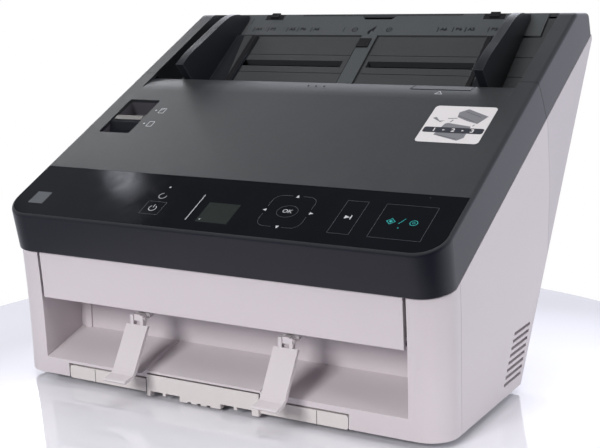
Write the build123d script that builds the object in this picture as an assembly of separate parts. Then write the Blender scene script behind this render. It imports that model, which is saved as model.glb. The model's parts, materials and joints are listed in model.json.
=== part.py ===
from build123d import *
from math import atan2, cos, pi, radians, sin, sqrt, tan
import os

# A desktop document scanner with a raked body and a hinged front door.
# Millimetres. X runs to the right seen from the front, Y to the rear, Z up.
# The origin is the centre of the footprint box, on the table.

# Overall size
width = 300
body_depth = 272
height = 234
stopper_reach = 13
foot_height = 4.5
rear_y = (body_depth + stopper_reach) / 2
front_y = rear_y - body_depth
half_width = width / 2
skin = 2.5
gap = 0.4

# Side profile, as depth behind the front edge and height above the table
lid_angle = 28
lid_slope = tan(radians(lid_angle))
edge_height = 111
bezel_foot = (5.9, 86.2)
bezel_heel = (24, 90)
front_foot = (13.9, foot_height)
front_waist = (11.0, 55)
front_top = (7.8, 85.5)
rear_foot = (140.5, foot_height)
rear_corner = (272, 212.7)
rear_top = (260.9, height)
corner_radius = 18
band_drop = edge_height + bezel_heel[0] * lid_slope - bezel_heel[1]

# Front door and its pivot
pivot = (15.5, 61.5)
seam_radius = 189.5
door_radius = seam_radius - gap
cheek_in = 122.8
cheek_out = 125.3
bay_half = 127.8
chassis_out = 130.3
wall_in = 138

# Paper path, a straight run between the throat and the exit
path_start = (44, 60)
path_angle = 44.5
path_gap = 1.0
guide_thickness = 2.5
guide_top = path_gap + guide_thickness

# Hopper
hopper_origin = (241, 231)
hopper_angle = 38.5
hopper_length = 142
plate_thickness = 3
extension_half = 127
rail_half = 6
slot_high, slot_low = 48.2, 54.9
slot_middle = 51.55
guide_in = 110
guide_wall = 6
guide_foot = 91.5
guide_end = 239
tooth_pitch = pi
rack_root, rack_tip, rack_back = 9.3, 7.15, 12.5

# Exit bay and trays
floor_left, floor_middle, floor_right = 15.4, 17.9, 17.0
bay_floor_rear = 28
bay_rear = 49
bay_top = 56.3
strip_half = 125.8
strip_low = 55.6
strip_high = 85.7
tray_left = -109.4
tray_right = 91
tray_mid_left = -47.3
tray_mid_right = 33.2
tray_top = 12.3
tray_mid_top = 15.8
tray_mid_step = 13
tray_mid_proud = 1.2
stopper_x = 52.5
stopper_width = 16

# Latch, stoppers and hinge pins
latch_axis = (144.5, 178.4)
strike = (148, 165.5)
stopper_axis = (13, 51)
pin_radius = 2
motor_axis = (140, 72)

# Rollers: place along the path and radius
feed_place, feed_radius = 128, 12
first_place, roller_radius = 92, 8
second_place = 40
exit_place, exit_radius = 14, 7
pinch_radius = 6.5
pinch_shaft = 2.5
retard_radius = 11
roller_gap = 0.15
shaft_radius = 3
glass_place = 66
glass_width = 226
glass_length = 14


def lid_z(depth):
    return edge_height + depth * lid_slope


def band_z(depth):
    return lid_z(depth) - band_drop


def prism(points, x_low, x_high):
    """Solid with a side outline given as (depth, height), between two x planes."""
    places = [(front_y + depth, z) for depth, z in points]
    face = make_face(Plane.YZ * Polyline(*places, close=True))
    return Pos(x_low, 0, 0) * extrude(face, x_high - x_low, dir=(1, 0, 0))


def pair(solid):
    """A solid and its mirror image about the centre plane."""
    return [solid, mirror(solid, Plane.YZ)]


def disc(centre, radius, x_low, x_high):
    """Cylinder along X about a point given as (depth, height)."""
    middle = (x_low + x_high) / 2
    place = Pos(middle, front_y + centre[0], centre[1])
    return place * Rot(0, 90, 0) * Cylinder(radius, x_high - x_low)


def ring_sector(x_low, x_high, radius):
    """Everything nearer to the door pivot than a radius."""
    return disc(pivot, radius, x_low, x_high)


def along_x(solid):
    return solid.edges().filter_by(Axis.X)


def near_edges(solid, depth, z, reach=0.6):
    """Edges along X that run through a point given as (depth, height)."""
    found = []
    for edge in along_x(solid):
        middle = edge @ 0.5
        if abs(middle.Y - front_y - depth) < reach and abs(middle.Z - z) < reach:
            found.append(edge)
    return found


def round_at(solid, depth, z, radius, reach=0.6):
    return fillet(near_edges(solid, depth, z, reach), radius)


# The lid plane: local x across, y up the slope from the front edge, z outwards
lid_plane = Plane(
    origin=(0, front_y, edge_height),
    x_dir=(1, 0, 0),
    z_dir=(0, -sin(radians(lid_angle)), cos(radians(lid_angle))),
)
# The hopper plane: local y up the plate from its upper reference line
hopper_plane = Plane(
    origin=(0, front_y + hopper_origin[0], hopper_origin[1]),
    x_dir=(1, 0, 0),
    z_dir=(0, -sin(radians(hopper_angle)), cos(radians(hopper_angle))),
)
# The paper path plane: local y up the path from its lower end
path_plane = Plane(
    origin=(0, front_y + path_start[0], path_start[1]),
    x_dir=(1, 0, 0),
    z_dir=(0, -sin(radians(path_angle)), cos(radians(path_angle))),
)


def slab(plane, x_low, x_high, y_low, y_high, z_low, z_high):
    """Box in the local axes of an inclined plane."""
    size = (x_high - x_low, y_high - y_low, z_high - z_low)
    middle = ((x_low + x_high) / 2, (y_low + y_high) / 2, (z_low + z_high) / 2)
    return plane * Pos(*middle) * Box(*size)


def box(x_low, x_high, depth_low, depth_high, z_low, z_high):
    """Upright box given by its x, depth and height limits."""
    size = (x_high - x_low, depth_high - depth_low, z_high - z_low)
    middle = ((x_low + x_high) / 2, front_y + (depth_low + depth_high) / 2, (z_low + z_high) / 2)
    return Pos(*middle) * Box(*size)


def path_point(place, offset):
    """Depth and height of a point along the path, offset towards the door."""
    angle = radians(path_angle)
    depth = path_start[0] + place * cos(angle) - offset * sin(angle)
    return depth, path_start[1] + place * sin(angle) + offset * cos(angle)


# Front door: the dark lid with its bezel

crest_depth = 141.6
crest_z = lid_z(crest_depth)
crest_slope = tan(radians(10))
lip_depth = 160.7
lip_z = 176.5
roll_radius = 60
lip_radius = 7.6
lever_left, lever_right = 69, 109.2
lever_place = 162
lever_gap = 1.5
window_left, window_right = -136.5, -110.7
window_low, window_high = 94.5, 136.5
window_corner = 1.8
panel_low, panel_high = 1.6, 51.8
panel_half = 148
panel_depth = 1.2


def seam_depth(radius, drop):
    """Depth where the door's arc meets a line parallel to the lid."""
    rise = edge_height - drop - pivot[1]
    a = 1 + lid_slope**2
    b = 2 * (rise * lid_slope - pivot[0])
    c = pivot[0] ** 2 + rise**2 - radius**2
    return (-b + sqrt(b * b - 4 * a * c)) / (2 * a)


def band_outline(inset):
    """Outline of the dark band seen from the side, open towards the seam."""
    far = 190
    drop = inset / cos(radians(lid_angle))
    return [
        (bezel_foot[0] + inset, bezel_foot[1]),
        (inset * 1.3, lid_z(inset * 1.3) - drop),
        (far, lid_z(far) - drop),
        (far, band_z(far)),
        bezel_heel,
    ]


def rounded_front(points, half, radius):
    """Prism between two x planes with its two upright front corners rounded."""
    block = prism(points, -half, half)
    corners = []
    for edge in block.edges():
        middle = edge @ 0.5
        upright = abs((edge % 0.5).Z) > 0.9 and edge.length > 15
        if upright and abs(abs(middle.X) - half) < 1 and middle.Y < front_y + 12:
            corners.append(edge)
    return fillet(corners, radius)


def lid_shell():
    """Outer form of the lid with rounded front corners."""
    outer = rounded_front(band_outline(0), half_width, corner_radius)
    top = outer.faces().sort_by(Axis(lid_plane.origin, lid_plane.z_dir))[-1]
    rim = [edge for edge in top.edges() if (edge @ 0.5).Y < front_y + 160]
    return fillet(rim, 2.6)


def roll_block(inset, start, x_low, x_high):
    """Top of the lid and its rear roll, set in from the outside by a distance."""
    lid_drop = inset / cos(radians(lid_angle))
    roll_drop = inset * sqrt(1 + crest_slope**2)
    corner = crest_depth + (lid_drop - roll_drop) / (lid_slope - crest_slope)
    corner_z = lid_z(corner) - lid_drop
    lip = lip_depth - inset
    top_z = corner_z + (lip - corner) * crest_slope
    outline = [(start, lid_z(start) - lid_drop), (corner, corner_z), (lip, top_z), (lip, 100), (start, 50)]
    block = prism(outline, x_low, x_high)
    block = round_at(block, corner, corner_z, roll_radius - inset)
    return round_at(block, lip, top_z, lip_radius - inset)


def make_door_cover():
    shell = lid_shell() & ring_sector(-half_width, half_width, door_radius)
    inner_half = half_width - skin
    inner = rounded_front(band_outline(skin), inner_half, corner_radius - skin)
    below = [(bezel_foot[0] + skin, 60), (bezel_foot[0] + skin, bezel_foot[1] + 6)]
    below += [(60, 130), (200, 205), (200, 60)]
    shell = shell - inner - rounded_front(below, inner_half, corner_radius - skin)
    roll_half = wall_in - gap
    roll = roll_block(0, 20, -roll_half, roll_half)
    hollow = roll_block(skin, 19, -wall_in, wall_in)
    crown = [(20, 240), (20, lid_z(20) - 12), (120, 165), (165, lip_z), (165, 240)]
    centre = (roll - hollow) & prism(crown, -roll_half, roll_half)
    above = [(120, 260), (120, lid_z(120) - 8), (lip_depth, 150), (230, 150), (230, 260)]
    rear_half = prism([(60, 240), (60, 100), (165, 100), (165, 240)], -half_width, half_width)
    cover = (shell - prism(above, -roll_half, roll_half)) + (centre & rear_half)
    cover -= selector_window(0, -10, 10)
    cover -= slab(lid_plane, lever_left - 0.5, lever_right + 0.5, lever_place, 190, -30, 10)
    return cover - panel_solid(0.15)


def selector_window(grow, z_low, z_high):
    """Rounded opening that the feed selector moves in."""
    across = window_right - window_left + 2 * grow
    along = window_high - window_low + 2 * grow
    sketch = RectangleRounded(across, along, window_corner + grow)
    place = Pos((window_left + window_right) / 2, (window_low + window_high) / 2, z_low)
    return lid_plane * place * extrude(sketch, z_high - z_low)


def panel_solid(grow):
    """Gloss control sheet, flush in the lid's front."""
    low, high = panel_low - grow, panel_high + grow
    half = panel_half + grow
    sketch = Pos(0, (low + high) / 2) * Rectangle(2 * half, high - low)
    fronts = sketch.vertices().filter_by(lambda v: v.Y < low + 1)
    sketch = fillet(fronts, corner_radius - 1.6)
    return lid_plane * Pos(0, 0, -panel_depth) * extrude(sketch, panel_depth + (3 if grow else -0.05))


def make_control_panel():
    return panel_solid(0) - panel_window(0.1)


def panel_window(grow):
    """Place of the small display in the control sheet."""
    return slab(lid_plane, -6.6 - grow, 15.2 + grow, 9.8 - grow, 28.5 + grow, -panel_depth - 1, 1)


def make_display_window():
    return slab(lid_plane, -6.6, 15.2, 9.8, 28.5, -panel_depth, -0.1)


def make_selector_well():
    """Open cup under the lid that the feed selector slides in."""
    return selector_window(1.5, -14, -skin - 0.05) - selector_window(0, -12.5, 0)


def make_feed_selector():
    """Thumb lever with a rounded crest, in its lower place."""
    outline = [(102.6, -12.2), (116, -12.2), (116, -4), (114.6, -1.6)]
    outline += [(111.6, -0.5), (109, -0.9), (105.4, -5), (102.6, -7)]
    face = make_face(Polyline(*outline, close=True))
    inset = 0.6
    turned = Plane(
        origin=lid_plane.origin + Vector(window_left + inset, 0, 0),
        x_dir=lid_plane.y_dir,
        z_dir=(1, 0, 0),
    )
    return extrude(turned * face, window_right - window_left - 2 * inset)


def front_depth(z):
    """Depth of the softly curved front face at a height."""
    low, middle, high = front_foot[1], front_waist[1], front_top[1]
    foot = front_foot[0] * (z - middle) * (z - high) / ((low - middle) * (low - high))
    waist = front_waist[0] * (z - low) * (z - high) / ((middle - low) * (middle - high))
    return foot + waist + front_top[0] * (z - low) * (z - middle) / ((high - low) * (high - middle))


def curved_prism(low, high, inset, rest, x_low, x_high):
    """Like prism, but its front follows the body's curved front between two heights."""
    arc = []
    for z in (low, (low + high) / 2, high):
        arc.append((front_y + front_depth(z) + inset, z))
    others = [arc[2]] + [(front_y + depth, z) for depth, z in rest] + [arc[0]]
    wire = Plane.YZ * (ThreePointArc(*arc) + Polyline(*others))
    return Pos(x_low, 0, 0) * extrude(make_face(wire), x_high - x_low, dir=(1, 0, 0))


def make_front_strip():
    """Light strip under the bezel, part of the door."""
    rear = [(13.4, strip_high), (13.4, strip_low)]
    strip = curved_prism(strip_low, strip_high, 0, rear, -strip_half, strip_half)
    strip -= box(-cheek_in, cheek_in, 11.2, 20, strip_low + 8, strip_high)
    return round_at(strip, front_depth(strip_low), strip_low, 0.9)


def cheek_outline():
    """Side of the door's inner frame, between lid and paper path."""
    under = skin / cos(radians(lid_angle)) + 0.1
    return [
        (13.4, 57),
        (13.4, strip_high + 0.05),
        (11.5, strip_high + 0.05),
        (11.5, lid_z(11.5) - under),
        (crest_depth - 9, lid_z(crest_depth - 9) - under),
        (142, 182.4),
        (149.5, 183.6),
        (lip_depth - skin - 0.3, 175),
        path_point(156, 1),
        path_point(2, 1),
        (42, 59.6),
        (20, 59.6),
        (18, 57),
    ]


def make_door_frame():
    """Two cheeks and three cross ribs that carry the door's rollers."""
    cheeks = pair(prism(cheek_outline(), cheek_in, cheek_out))
    frame = cheeks[0] + cheeks[1]
    inside = prism(cheek_outline(), -cheek_in, cheek_in)
    for place in (26, 80, 109.5):
        frame += inside & slab(path_plane, -cheek_in, cheek_in, place, place + 2, guide_top, 80)
    frame -= slab(lid_plane, window_left - 2, window_right + 2, window_low - 2, window_high + 2, -14.2, 0)
    for place, radius, side, shaft in door_rollers():
        frame -= disc(path_point(place, side * (radius + roller_gap)), shaft + 0.05, -130, 130)
    frame -= disc(latch_axis, shaft_radius + 0.05, -130, 130)
    frame -= slab(path_plane, -130, 130, 144.6, 151.6, 0, 5.3)
    return frame - disc(pivot, pin_radius + 0.05, -130, 130)


def door_rollers():
    """Place, radius, side and shaft radius of each roller in the door."""
    return [
        (feed_place, retard_radius, 1, shaft_radius),
        (first_place, pinch_radius, 1, pinch_shaft),
        (second_place, pinch_radius, 1, pinch_shaft),
        (exit_place, pinch_radius, 1, pinch_shaft),
    ]


def base_rollers():
    """Place, radius, side and shaft radius of each roller in the base."""
    return [
        (feed_place, feed_radius, -1, shaft_radius),
        (first_place, roller_radius, -1, shaft_radius),
        (second_place, roller_radius, -1, shaft_radius),
        (exit_place, exit_radius, -1, shaft_radius),
    ]


def tyre_spans(place):
    """Where the rubber tyres sit along a shaft."""
    if place == feed_place:
        return [(-30, -8), (8, 30)]
    return [(x - 8, x + 8) for x in (-84, -30, 30, 84)]


def tyre_windows(plane, rollers, z_low, z_high):
    """Boxes that clear the tyres where they pass a guide plate."""
    cuts = []
    for place, radius, side, shaft in rollers:
        deep = radius - path_gap - guide_thickness + roller_gap
        reach = sqrt(radius**2 - deep**2) + 1
        low, high = place - reach, place + reach
        for left, right in tyre_spans(place):
            cuts.append(slab(plane, left - 1, right + 1, low, high, z_low, z_high))
    return cuts


def make_door_guide():
    """Inner guide plate of the door, over the paper path."""
    plate = slab(path_plane, -cheek_in, cheek_in, 3, 155.5, path_gap, guide_top)
    for cut in tyre_windows(path_plane, door_rollers(), 0, 10):
        plate -= cut
    plate -= pair(slab(path_plane, 116.5, 130, 134, 170, 0, 10))
    half = glass_width / 2
    reach = glass_length / 2
    return plate - slab(path_plane, -half, half, glass_place - reach, glass_place + reach, 0, 10)


def make_glass(side):
    low, high = sorted((side * (path_gap + 0.1), side * (path_gap + guide_thickness)))
    half, reach = glass_width / 2, glass_length / 2
    return slab(path_plane, -half, half, glass_place - reach, glass_place + reach, low, high)


def make_sensor(side):
    """Long image sensor block behind its glass."""
    low, high = sorted((side * (path_gap + guide_thickness), side * 16))
    return slab(path_plane, -116, 116, glass_place - 9, glass_place + 9, low, high)


def make_roller(roller, end):
    """Shaft and rubber tyres of one roller."""
    place, radius, side, thick = roller
    centre = path_point(place, side * (radius + roller_gap))
    shaft = disc(centre, thick, -end, end)
    tyres = []
    for left, right in tyre_spans(place):
        tyres.append(disc(centre, radius, left, right) - disc(centre, thick, left, right))
    return shaft, tyres


def make_moulded_roller(roller, end):
    """Idle roller moulded in one piece with its shaft."""
    shaft, tyres = make_roller(roller, end)
    for tyre in tyres:
        shaft += tyre
    return shaft


# Release lever, latch shaft and hooks

def make_release_lever():
    """Finger tab that fills the notch in the lid's rear roll."""
    tab_skin = roll_block(0, 120, lever_left, lever_right) - roll_block(skin, 119, 0, 200)
    tab = tab_skin & slab(lid_plane, lever_left, lever_right, lever_place + lever_gap, 190, -30, 10)
    tab -= box(0, 200, 0, 200, 0, lip_z)
    arm_low, arm_high = 84, 100
    arm = prism([(141.5, 180), (147.5, 176.6), (157, 187), (149, 187)], arm_low, arm_high)
    hub = disc(latch_axis, 3.9, arm_low, arm_high)
    arm &= roll_block(skin - 0.2, 100, arm_low, arm_high)
    return tab + arm + hub - disc(latch_axis, shaft_radius, 80, 110)


def make_latch_shaft():
    return disc(latch_axis, shaft_radius, -126, 126)


def make_latch_hook(side):
    """Claw inside the cheek, pressed on the latch shaft."""
    outline = [(142.2, 179.4), (147, 180.2), (153.5, 171), (153, 167)]
    outline += [(150.3, 166.8), (150.4, 169.5), (142.3, 175.4)]
    low, high = sorted((side * 118.5, side * 121.5))
    hub = disc(latch_axis, 3.9, low, high)
    return prism(outline, low, high) + hub


def make_strike(side):
    """Pin on the side plate that the claw closes under."""
    low, high = sorted((side * 117, side * bay_half))
    return disc(strike, 2, low, high)


# Body shell: one outer form, parted into frame, panels and rear cover

front_seam = [(27, 96), (29.5, 89.6), (31.5, 71.9), (36.6, foot_height - 1)]
rear_seam = [(175.4, 161), (183.7, 125.5), (184.3, 60)]
body_top_gap = 0.7


def body_outline(inset):
    """Points of the light body behind its curved front, seen from the side."""
    lean = atan2(rear_corner[1] - rear_foot[1], rear_corner[0] - rear_foot[0])
    floor = foot_height if inset == 0 else foot_height - 5
    back = rear_foot[0] - (foot_height - floor) / tan(lean) - inset / sin(lean)
    top = body_top_gap + inset / cos(radians(lid_angle))
    return [
        (bezel_heel[0], bezel_heel[1] - top),
        (268.3 - inset, band_z(268.3) - top),
        (rear_corner[0] - inset * 1.2, rear_corner[1] - inset * 0.5),
        (back, floor),
    ]


def body_form(inset, round_front, round_rear):
    """Closed body form with rounded upright corners."""
    half = half_width - inset
    floor = foot_height if inset == 0 else foot_height - 5
    form = curved_prism(floor, front_top[1] - inset, inset, body_outline(inset), -half, half)
    fronts = []
    for edge in form.edges():
        middle = edge @ 0.5
        if edge.length > 40 and abs(abs(middle.X) - half) < 0.5 and middle.Y < front_y + 20:
            fronts.append(edge)
    form = fillet(fronts, round_front)
    rears = [edge for edge in form.edges() if is_rear(edge)]
    return fillet(rears, round_rear)


def is_rear(edge):
    middle = edge @ 0.5
    return edge.length > 100 and middle.Y > front_y + 150 and abs((edge % 0.5).Z) > 0.75


def body_shell():
    return body_form(0, corner_radius, 4) - body_form(skin, corner_radius - skin, 4 - skin)


def behind(line, shift):
    """Region behind a seam given as (depth, height) points, shifted rearwards."""
    moved = [(depth + shift, z) for depth, z in line]
    return prism(moved + [(moved[-1][0], -20), (320, -20), (320, 260), (moved[0][0], 260)], -200, 200)


def rear_region(shift):
    """Everything that belongs to the rear cover."""
    arc_end = seam_depth(seam_radius, band_drop)
    side = behind([(arc_end, band_z(arc_end) + 4)] + rear_seam, shift)
    lean = atan2(rear_corner[1] - rear_foot[1], rear_corner[0] - rear_foot[0])
    run = (skin + 0.9 - shift) / sin(lean)
    wall = [
        (rear_foot[0] - run - 5 / tan(lean), rear_foot[1] - 5),
        (rear_corner[0] - run, rear_corner[1]),
        (330, 230),
        (330, -20),
        (rear_foot[0] - run, -20),
    ]
    return side + prism(wall, -200, 200)


def bay_floors():
    """Left, middle and right part of the bay floor: x limits, front height, recess height."""
    outer = chassis_out - 0.2
    return [
        (-outer, tray_mid_left - 0.5, floor_left, tray_top + 1.2),
        (tray_mid_left - 0.5, tray_mid_right + 0.5, floor_middle, tray_mid_top + 0.6),
        (tray_mid_right + 0.5, outer, floor_right, tray_top + 1.2),
    ]


def make_front_frame(shell):
    """Front posts, bay floor, bay walls and the bay's ceiling."""
    frame = shell - behind(front_seam, 0)
    outer = chassis_out - 0.2
    for low, high, front_z, recess in bay_floors():
        left, right = max(low, -bay_half), min(high, bay_half)
        frame -= box(left, right, -5, 30, front_z, 120)
        left, right = max(low, tray_left - 0.6), min(high, tray_right + 0.6)
        frame -= box(left, right, -5, 30, 0, recess)
    for low, high, front_z, recess in bay_floors():
        near = front_depth(front_z)
        floor = [(near, front_z), (bay_rear, bay_floor_rear)]
        floor += [(bay_rear, bay_floor_rear - skin), (near + 0.1, front_z - 1.1)]
        frame += prism(floor, low, high)
    frame += bay_ridge()
    frame += box(-outer, outer, bay_rear, bay_rear + 2, 20, 57.6)
    wall = [(10, 84.2), (24, 87), (24, 66), (bay_rear, 60), (bay_rear, 22), (14.5, 13.2)]
    for side in pair(prism(wall, bay_half, outer)):
        frame += side
    frame += box(-bay_half, bay_half, 21.5, 38, bay_top, bay_top + 2)
    for side in (-1, 1):
        low, high = sorted((side * (bay_half - 9), side * (bay_half - 4)))
        frame += box(low, high, bay_rear - 1.2, bay_rear + 0.2, 26.8, 57.6)
    return frame - disc(pivot, pin_radius + 0.02, -140, 140)


def bay_ridge():
    """Sloped ridge where the bay floor steps up to its middle part."""
    left, right = tray_mid_left - 5, tray_mid_left - 0.5
    near = front_depth(floor_middle) + 0.2
    rows = []
    ends = [(near, floor_left, floor_middle), (bay_rear, bay_floor_rear, bay_floor_rear)]
    for depth, low, high in ends:
        y = front_y + depth
        corners = [(left, y, low - 1), (left, y, low), (right, y, high + 0.3), (right, y, low - 1)]
        rows.append(make_face(Polyline(*corners, close=True)))
    return loft(rows, ruled=True)


def make_hinge_pin(side):
    """Stub pin between a front post and the door's cheek."""
    low, high = sorted((side * (cheek_in - 0.5), side * (chassis_out + 0.5)))
    return disc(pivot, pin_radius, low, high)


def vent_slots():
    """Eight short slots in the right side, stepped along the rear rake."""
    cuts = []
    for step in range(8):
        z = 12.6 + step * 4.0
        shift = (z - 12.6) * 0.585
        slot = box(140, 160, 105.2 + shift, 135.4 + shift, z - 1.05, z + 1.05)
        cuts.append(slot)
    return cuts


def make_side_panel(shell, side):
    low, high = sorted((side * 132, side * 151))
    panel = (shell & prism([(-50, -50), (-50, 300), (350, 300), (350, -50)], low, high))
    panel = (panel & behind(front_seam, 0.3)) - rear_region(-0.3)
    if side > 0:
        for slot in vent_slots():
            panel -= slot
    return panel


def make_rear_cover(shell):
    """Raked rear wall with the two wrapped side pieces."""
    cover = shell & rear_region(0)
    roof = [(100, band_z(100) - 7), (262, band_z(262) - 7), (262, 300), (100, 300)]
    cover -= prism(roof, -136, 136)
    cover -= inlet_block(0.1)
    return cover - usb_block(0.1)


def rake_plane():
    """Plane on the raked rear face, local y up the rake and z outwards."""
    lean = atan2(rear_corner[1] - rear_foot[1], rear_corner[0] - rear_foot[0])
    return Plane(
        origin=(0, front_y + rear_foot[0], rear_foot[1]),
        x_dir=(-1, 0, 0),
        z_dir=(0, sin(lean), -cos(lean)),
    )


def inlet_block(grow):
    return slab(rake_plane(), 92 - grow, 108 + grow, 30 - grow, 44 + grow, -14, -0.3 + 4 * grow)


def usb_block(grow):
    return slab(rake_plane(), 66 - grow, 80 + grow, 31 - grow, 43 + grow, -14, -0.3 + 4 * grow)


def make_power_inlet():
    """Round low-voltage inlet with its centre pin."""
    plane = rake_plane()
    cup = inlet_block(0) - plane * Pos(100, 37, -6) * Cylinder(3.2, 13)
    return cup + plane * Pos(100, 37, -8) * Cylinder(0.9, 12)


def make_usb_socket():
    plane = rake_plane()
    block = usb_block(0) - plane * Pos(73, 37, -5) * Box(8.4, 7.8, 11)
    return block + plane * Pos(73, 37, -6) * Box(5.4, 3, 10)


# Top rear housing and hopper


def housing_outline(inset):
    drop = inset / cos(radians(lid_angle))
    return [
        (130, lid_z(130) - drop),
        ((height - edge_height) / lid_slope, height - inset),
        (rear_top[0] - inset * 0.6, height - inset),
        (268.3 - inset, band_z(268.3)),
        (130, band_z(130)),
    ]


def make_hopper_housing():
    bend = (height - edge_height) / lid_slope
    outer = prism(housing_outline(0), -half_width, half_width)
    outer = round_at(outer, bend, height, 12)
    outer = round_at(outer, rear_top[0], height, 4)
    rims = []
    for edge in outer.edges():
        middle = edge @ 0.5
        if abs(abs(middle.X) - half_width) < 0.1 and middle.Z > band_z(middle.Y - front_y) + 3:
            if middle.Y > front_y + 131:
                rims.append(edge)
    outer = fillet(rims, 2.6)
    inner = prism(housing_outline(skin), skin - half_width, half_width - skin)
    housing = outer - inner - box(-wall_in, wall_in, 100, 245.5, 100, 300)
    for side in (-1, 1):
        low, high = sorted((side * wall_in, side * (wall_in + skin)))
        housing += outer & box(low, high, 100, 262, 100, 300)
    housing -= slab(hopper_plane, -wall_in, wall_in, -30, 60, -2.3, 30)
    return housing - disc(pivot, seam_radius, -200, 200)


def make_hopper_plate():
    """Sloped floor of the hopper, with the rail channel and the slot for the guides."""
    low = -2.1 - plate_thickness
    half = bay_half - 1.2
    plate = slab(hopper_plane, -wall_in + 0.3, wall_in - 0.3, -88, 1.5, low, 0)
    plate += slab(hopper_plane, -half, half, -hopper_length, -87, low, 0)
    plate -= slab(hopper_plane, -wall_in, wall_in, -21.6, 6, -2.1, 1)
    plate -= slab(hopper_plane, -rail_half - 0.4, rail_half + 2.6, -104, -20, -2.1, 1)
    for side in (-1, 1):
        left, right = sorted((side * (rail_half + 4), side * (guide_in - 1)))
        plate -= slab(hopper_plane, left, right, -slot_low, -slot_high, -9, 1)
        for line in (42, 61.5):
            left, right = sorted((side * (rail_half + 0.4), side * (guide_in + 20)))
            plate -= slab(hopper_plane, left, right, -line - 0.35, -line + 0.35, -0.6, 1)
    for left, right in tyre_spans(feed_place):
        plate -= slab(hopper_plane, left - 1, right + 1, -hopper_length - 1, -120.5, -9, 1)
    return plate + hopper_plane * Pos(0, -slot_middle, -7.1) * Cylinder(2, 4)


def make_hopper_extension():
    """Wide pull-out plate and the centre rail that guides it."""
    low, high = -2.0, -0.1
    plate = slab(hopper_plane, -extension_half, extension_half, -19.2, 4.8, low, high)
    plate -= slab(hopper_plane, -64.8, 64.8, 2.6, 6, low - 1, high + 1)
    notch = Polyline((-14.2, 3), (14.2, 3), (10.2, -1.8), (-10.2, -1.8), close=True)
    plate -= hopper_plane * Pos(0, 0, -5) * extrude(make_face(notch), 10)
    rail = slab(hopper_plane, -rail_half, rail_half, -100, -19, low, high)
    plate += rail
    for side in (-1, 1):
        left, right = sorted((side * 81, side * 96.5))
        plate -= slab(hopper_plane, left - 0.2, right + 0.2, -1.6, 6, low - 1, high + 1)
    return plate


def make_extension_clip(side):
    """Small dark clip set in the top edge of the extension."""
    left, right = sorted((side * 81, side * 96.5))
    clip = slab(hopper_plane, left, right, -1.5, 4.9, -2.0, -0.1)
    middle = (left + right) / 2
    return clip + slab(hopper_plane, middle - 3.5, middle + 3.5, 0.4, 5.4, -0.1, 1.0)


def make_extension_latch():
    """Small lock at the top of the rail."""
    return slab(hopper_plane, -5.6, 3.4, -33, -24, -0.1, 1.1)


def make_document_guide(side):
    """Side fence with a foot on the hopper plate and a rack under it."""
    top = [(228, 233.6), (213, 233), (199, 227.5), (176, 215.8)]
    top += [(157, 206), (146, 198.2), (135, 187)]
    wire = Spline(*[(front_y + depth, z) for depth, z in top])
    ends = [top[-1], (135, 140), (guide_end, 140), (guide_end, 233.6), top[0]]
    wire += Polyline(*[(front_y + depth, z) for depth, z in ends])
    low, high = sorted((side * guide_in, side * (guide_in + guide_wall)))
    fence = Pos(low, 0, 0) * extrude(make_face(Plane.YZ * wire), high - low, dir=(1, 0, 0))
    foot_low, foot_high = sorted((side * guide_foot, side * guide_in))
    fence += slab(hopper_plane, foot_low, foot_high, -108, -23.5, 0.4, 2.6)
    fence -= disc(pivot, seam_radius + 0.8, -200, 200)
    fence -= slab(hopper_plane, -200, 200, -250, 90, -160, 0.4)
    peg_low, peg_high = sorted((side * 96, side * 108))
    return fence + slab(hopper_plane, peg_low, peg_high, -slot_middle - 2.2, -slot_middle + 2.2, -8.4, 0.5)


def make_guide_rack(side):
    """Toothed bar under the hopper plate, carried by a guide's peg."""
    points = [(12, rack_back), (12, rack_root)]
    for tooth in range(32):
        start = 10.375 - tooth * tooth_pitch
        points += [(start, rack_root), (start - 0.55, rack_tip)]
        points += [(start - 1.35, rack_tip), (start - 1.9, rack_root)]
    points += [(-108, rack_root), (-108, rack_back)]
    sketch = make_face(Polyline(*points, close=True))
    bar = extrude(sketch, 3)
    bar += Pos(-102, (rack_back + 2.2) / 2, 1.5) * Box(12, rack_back - 2.2, 3)
    turn = 0 if side < 0 else 180
    return hopper_plane * Pos(0, -slot_middle, -8.4) * Rot(0, 0, turn) * bar


def make_guide_pinion():
    """Sixteen-tooth pinion between the two racks."""
    points = []
    for tooth in range(16):
        middle = tooth * 22.5 + 90 + 11.25
        for turn, radius in ((-7.2, 6.8), (-3.2, 9.0), (3.2, 9.0), (7.2, 6.8)):
            angle = radians(middle + turn)
            points.append((radius * cos(angle), radius * sin(angle)))
    wheel = extrude(make_face(Polyline(*points, close=True)), 3) - Cylinder(2.08, 20)
    return hopper_plane * Pos(0, -slot_middle, -8.4) * wheel


# Exit bay fittings


def make_stopper(side):
    """Hanging paper stopper: blade, curled foot and two-pronged pivot head."""
    middle = side * stopper_x
    half = stopper_width / 2
    blade = [(11.2, 47), (13.3, 46.4), (-1.2, 19.8), (-5, 17.8), (-11.8, 16.4)]
    blade += [(-13, 17.4), (-12.4, 18.4), (-5.4, 19.9), (-3.4, 21.5)]
    solid = prism(blade, middle - half, middle + half)
    solid = round_at(solid, blade[2][0], blade[2][1], 3)
    solid = round_at(solid, blade[-1][0], blade[-1][1], 1.4)
    prong = [(10.8, 52.9), (14.4, 52.9), (15, 50), (14, 45.6), (11, 45.6)]
    for step in (-1, 1):
        low, high = sorted((middle + step * 2.5, middle + step * 4.7))
        solid += prism(prong, low, high)
        pad_low, pad_high = sorted((middle + step * (half - 3.4), middle + step * (half - 0.9)))
        solid += prism([(9.9, 44.7), (8.6, 42.3), (9.2, 42), (10.5, 44.4)], pad_low, pad_high)
    return solid - disc(stopper_axis, 1.3, middle - 10, middle + 10)


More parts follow.
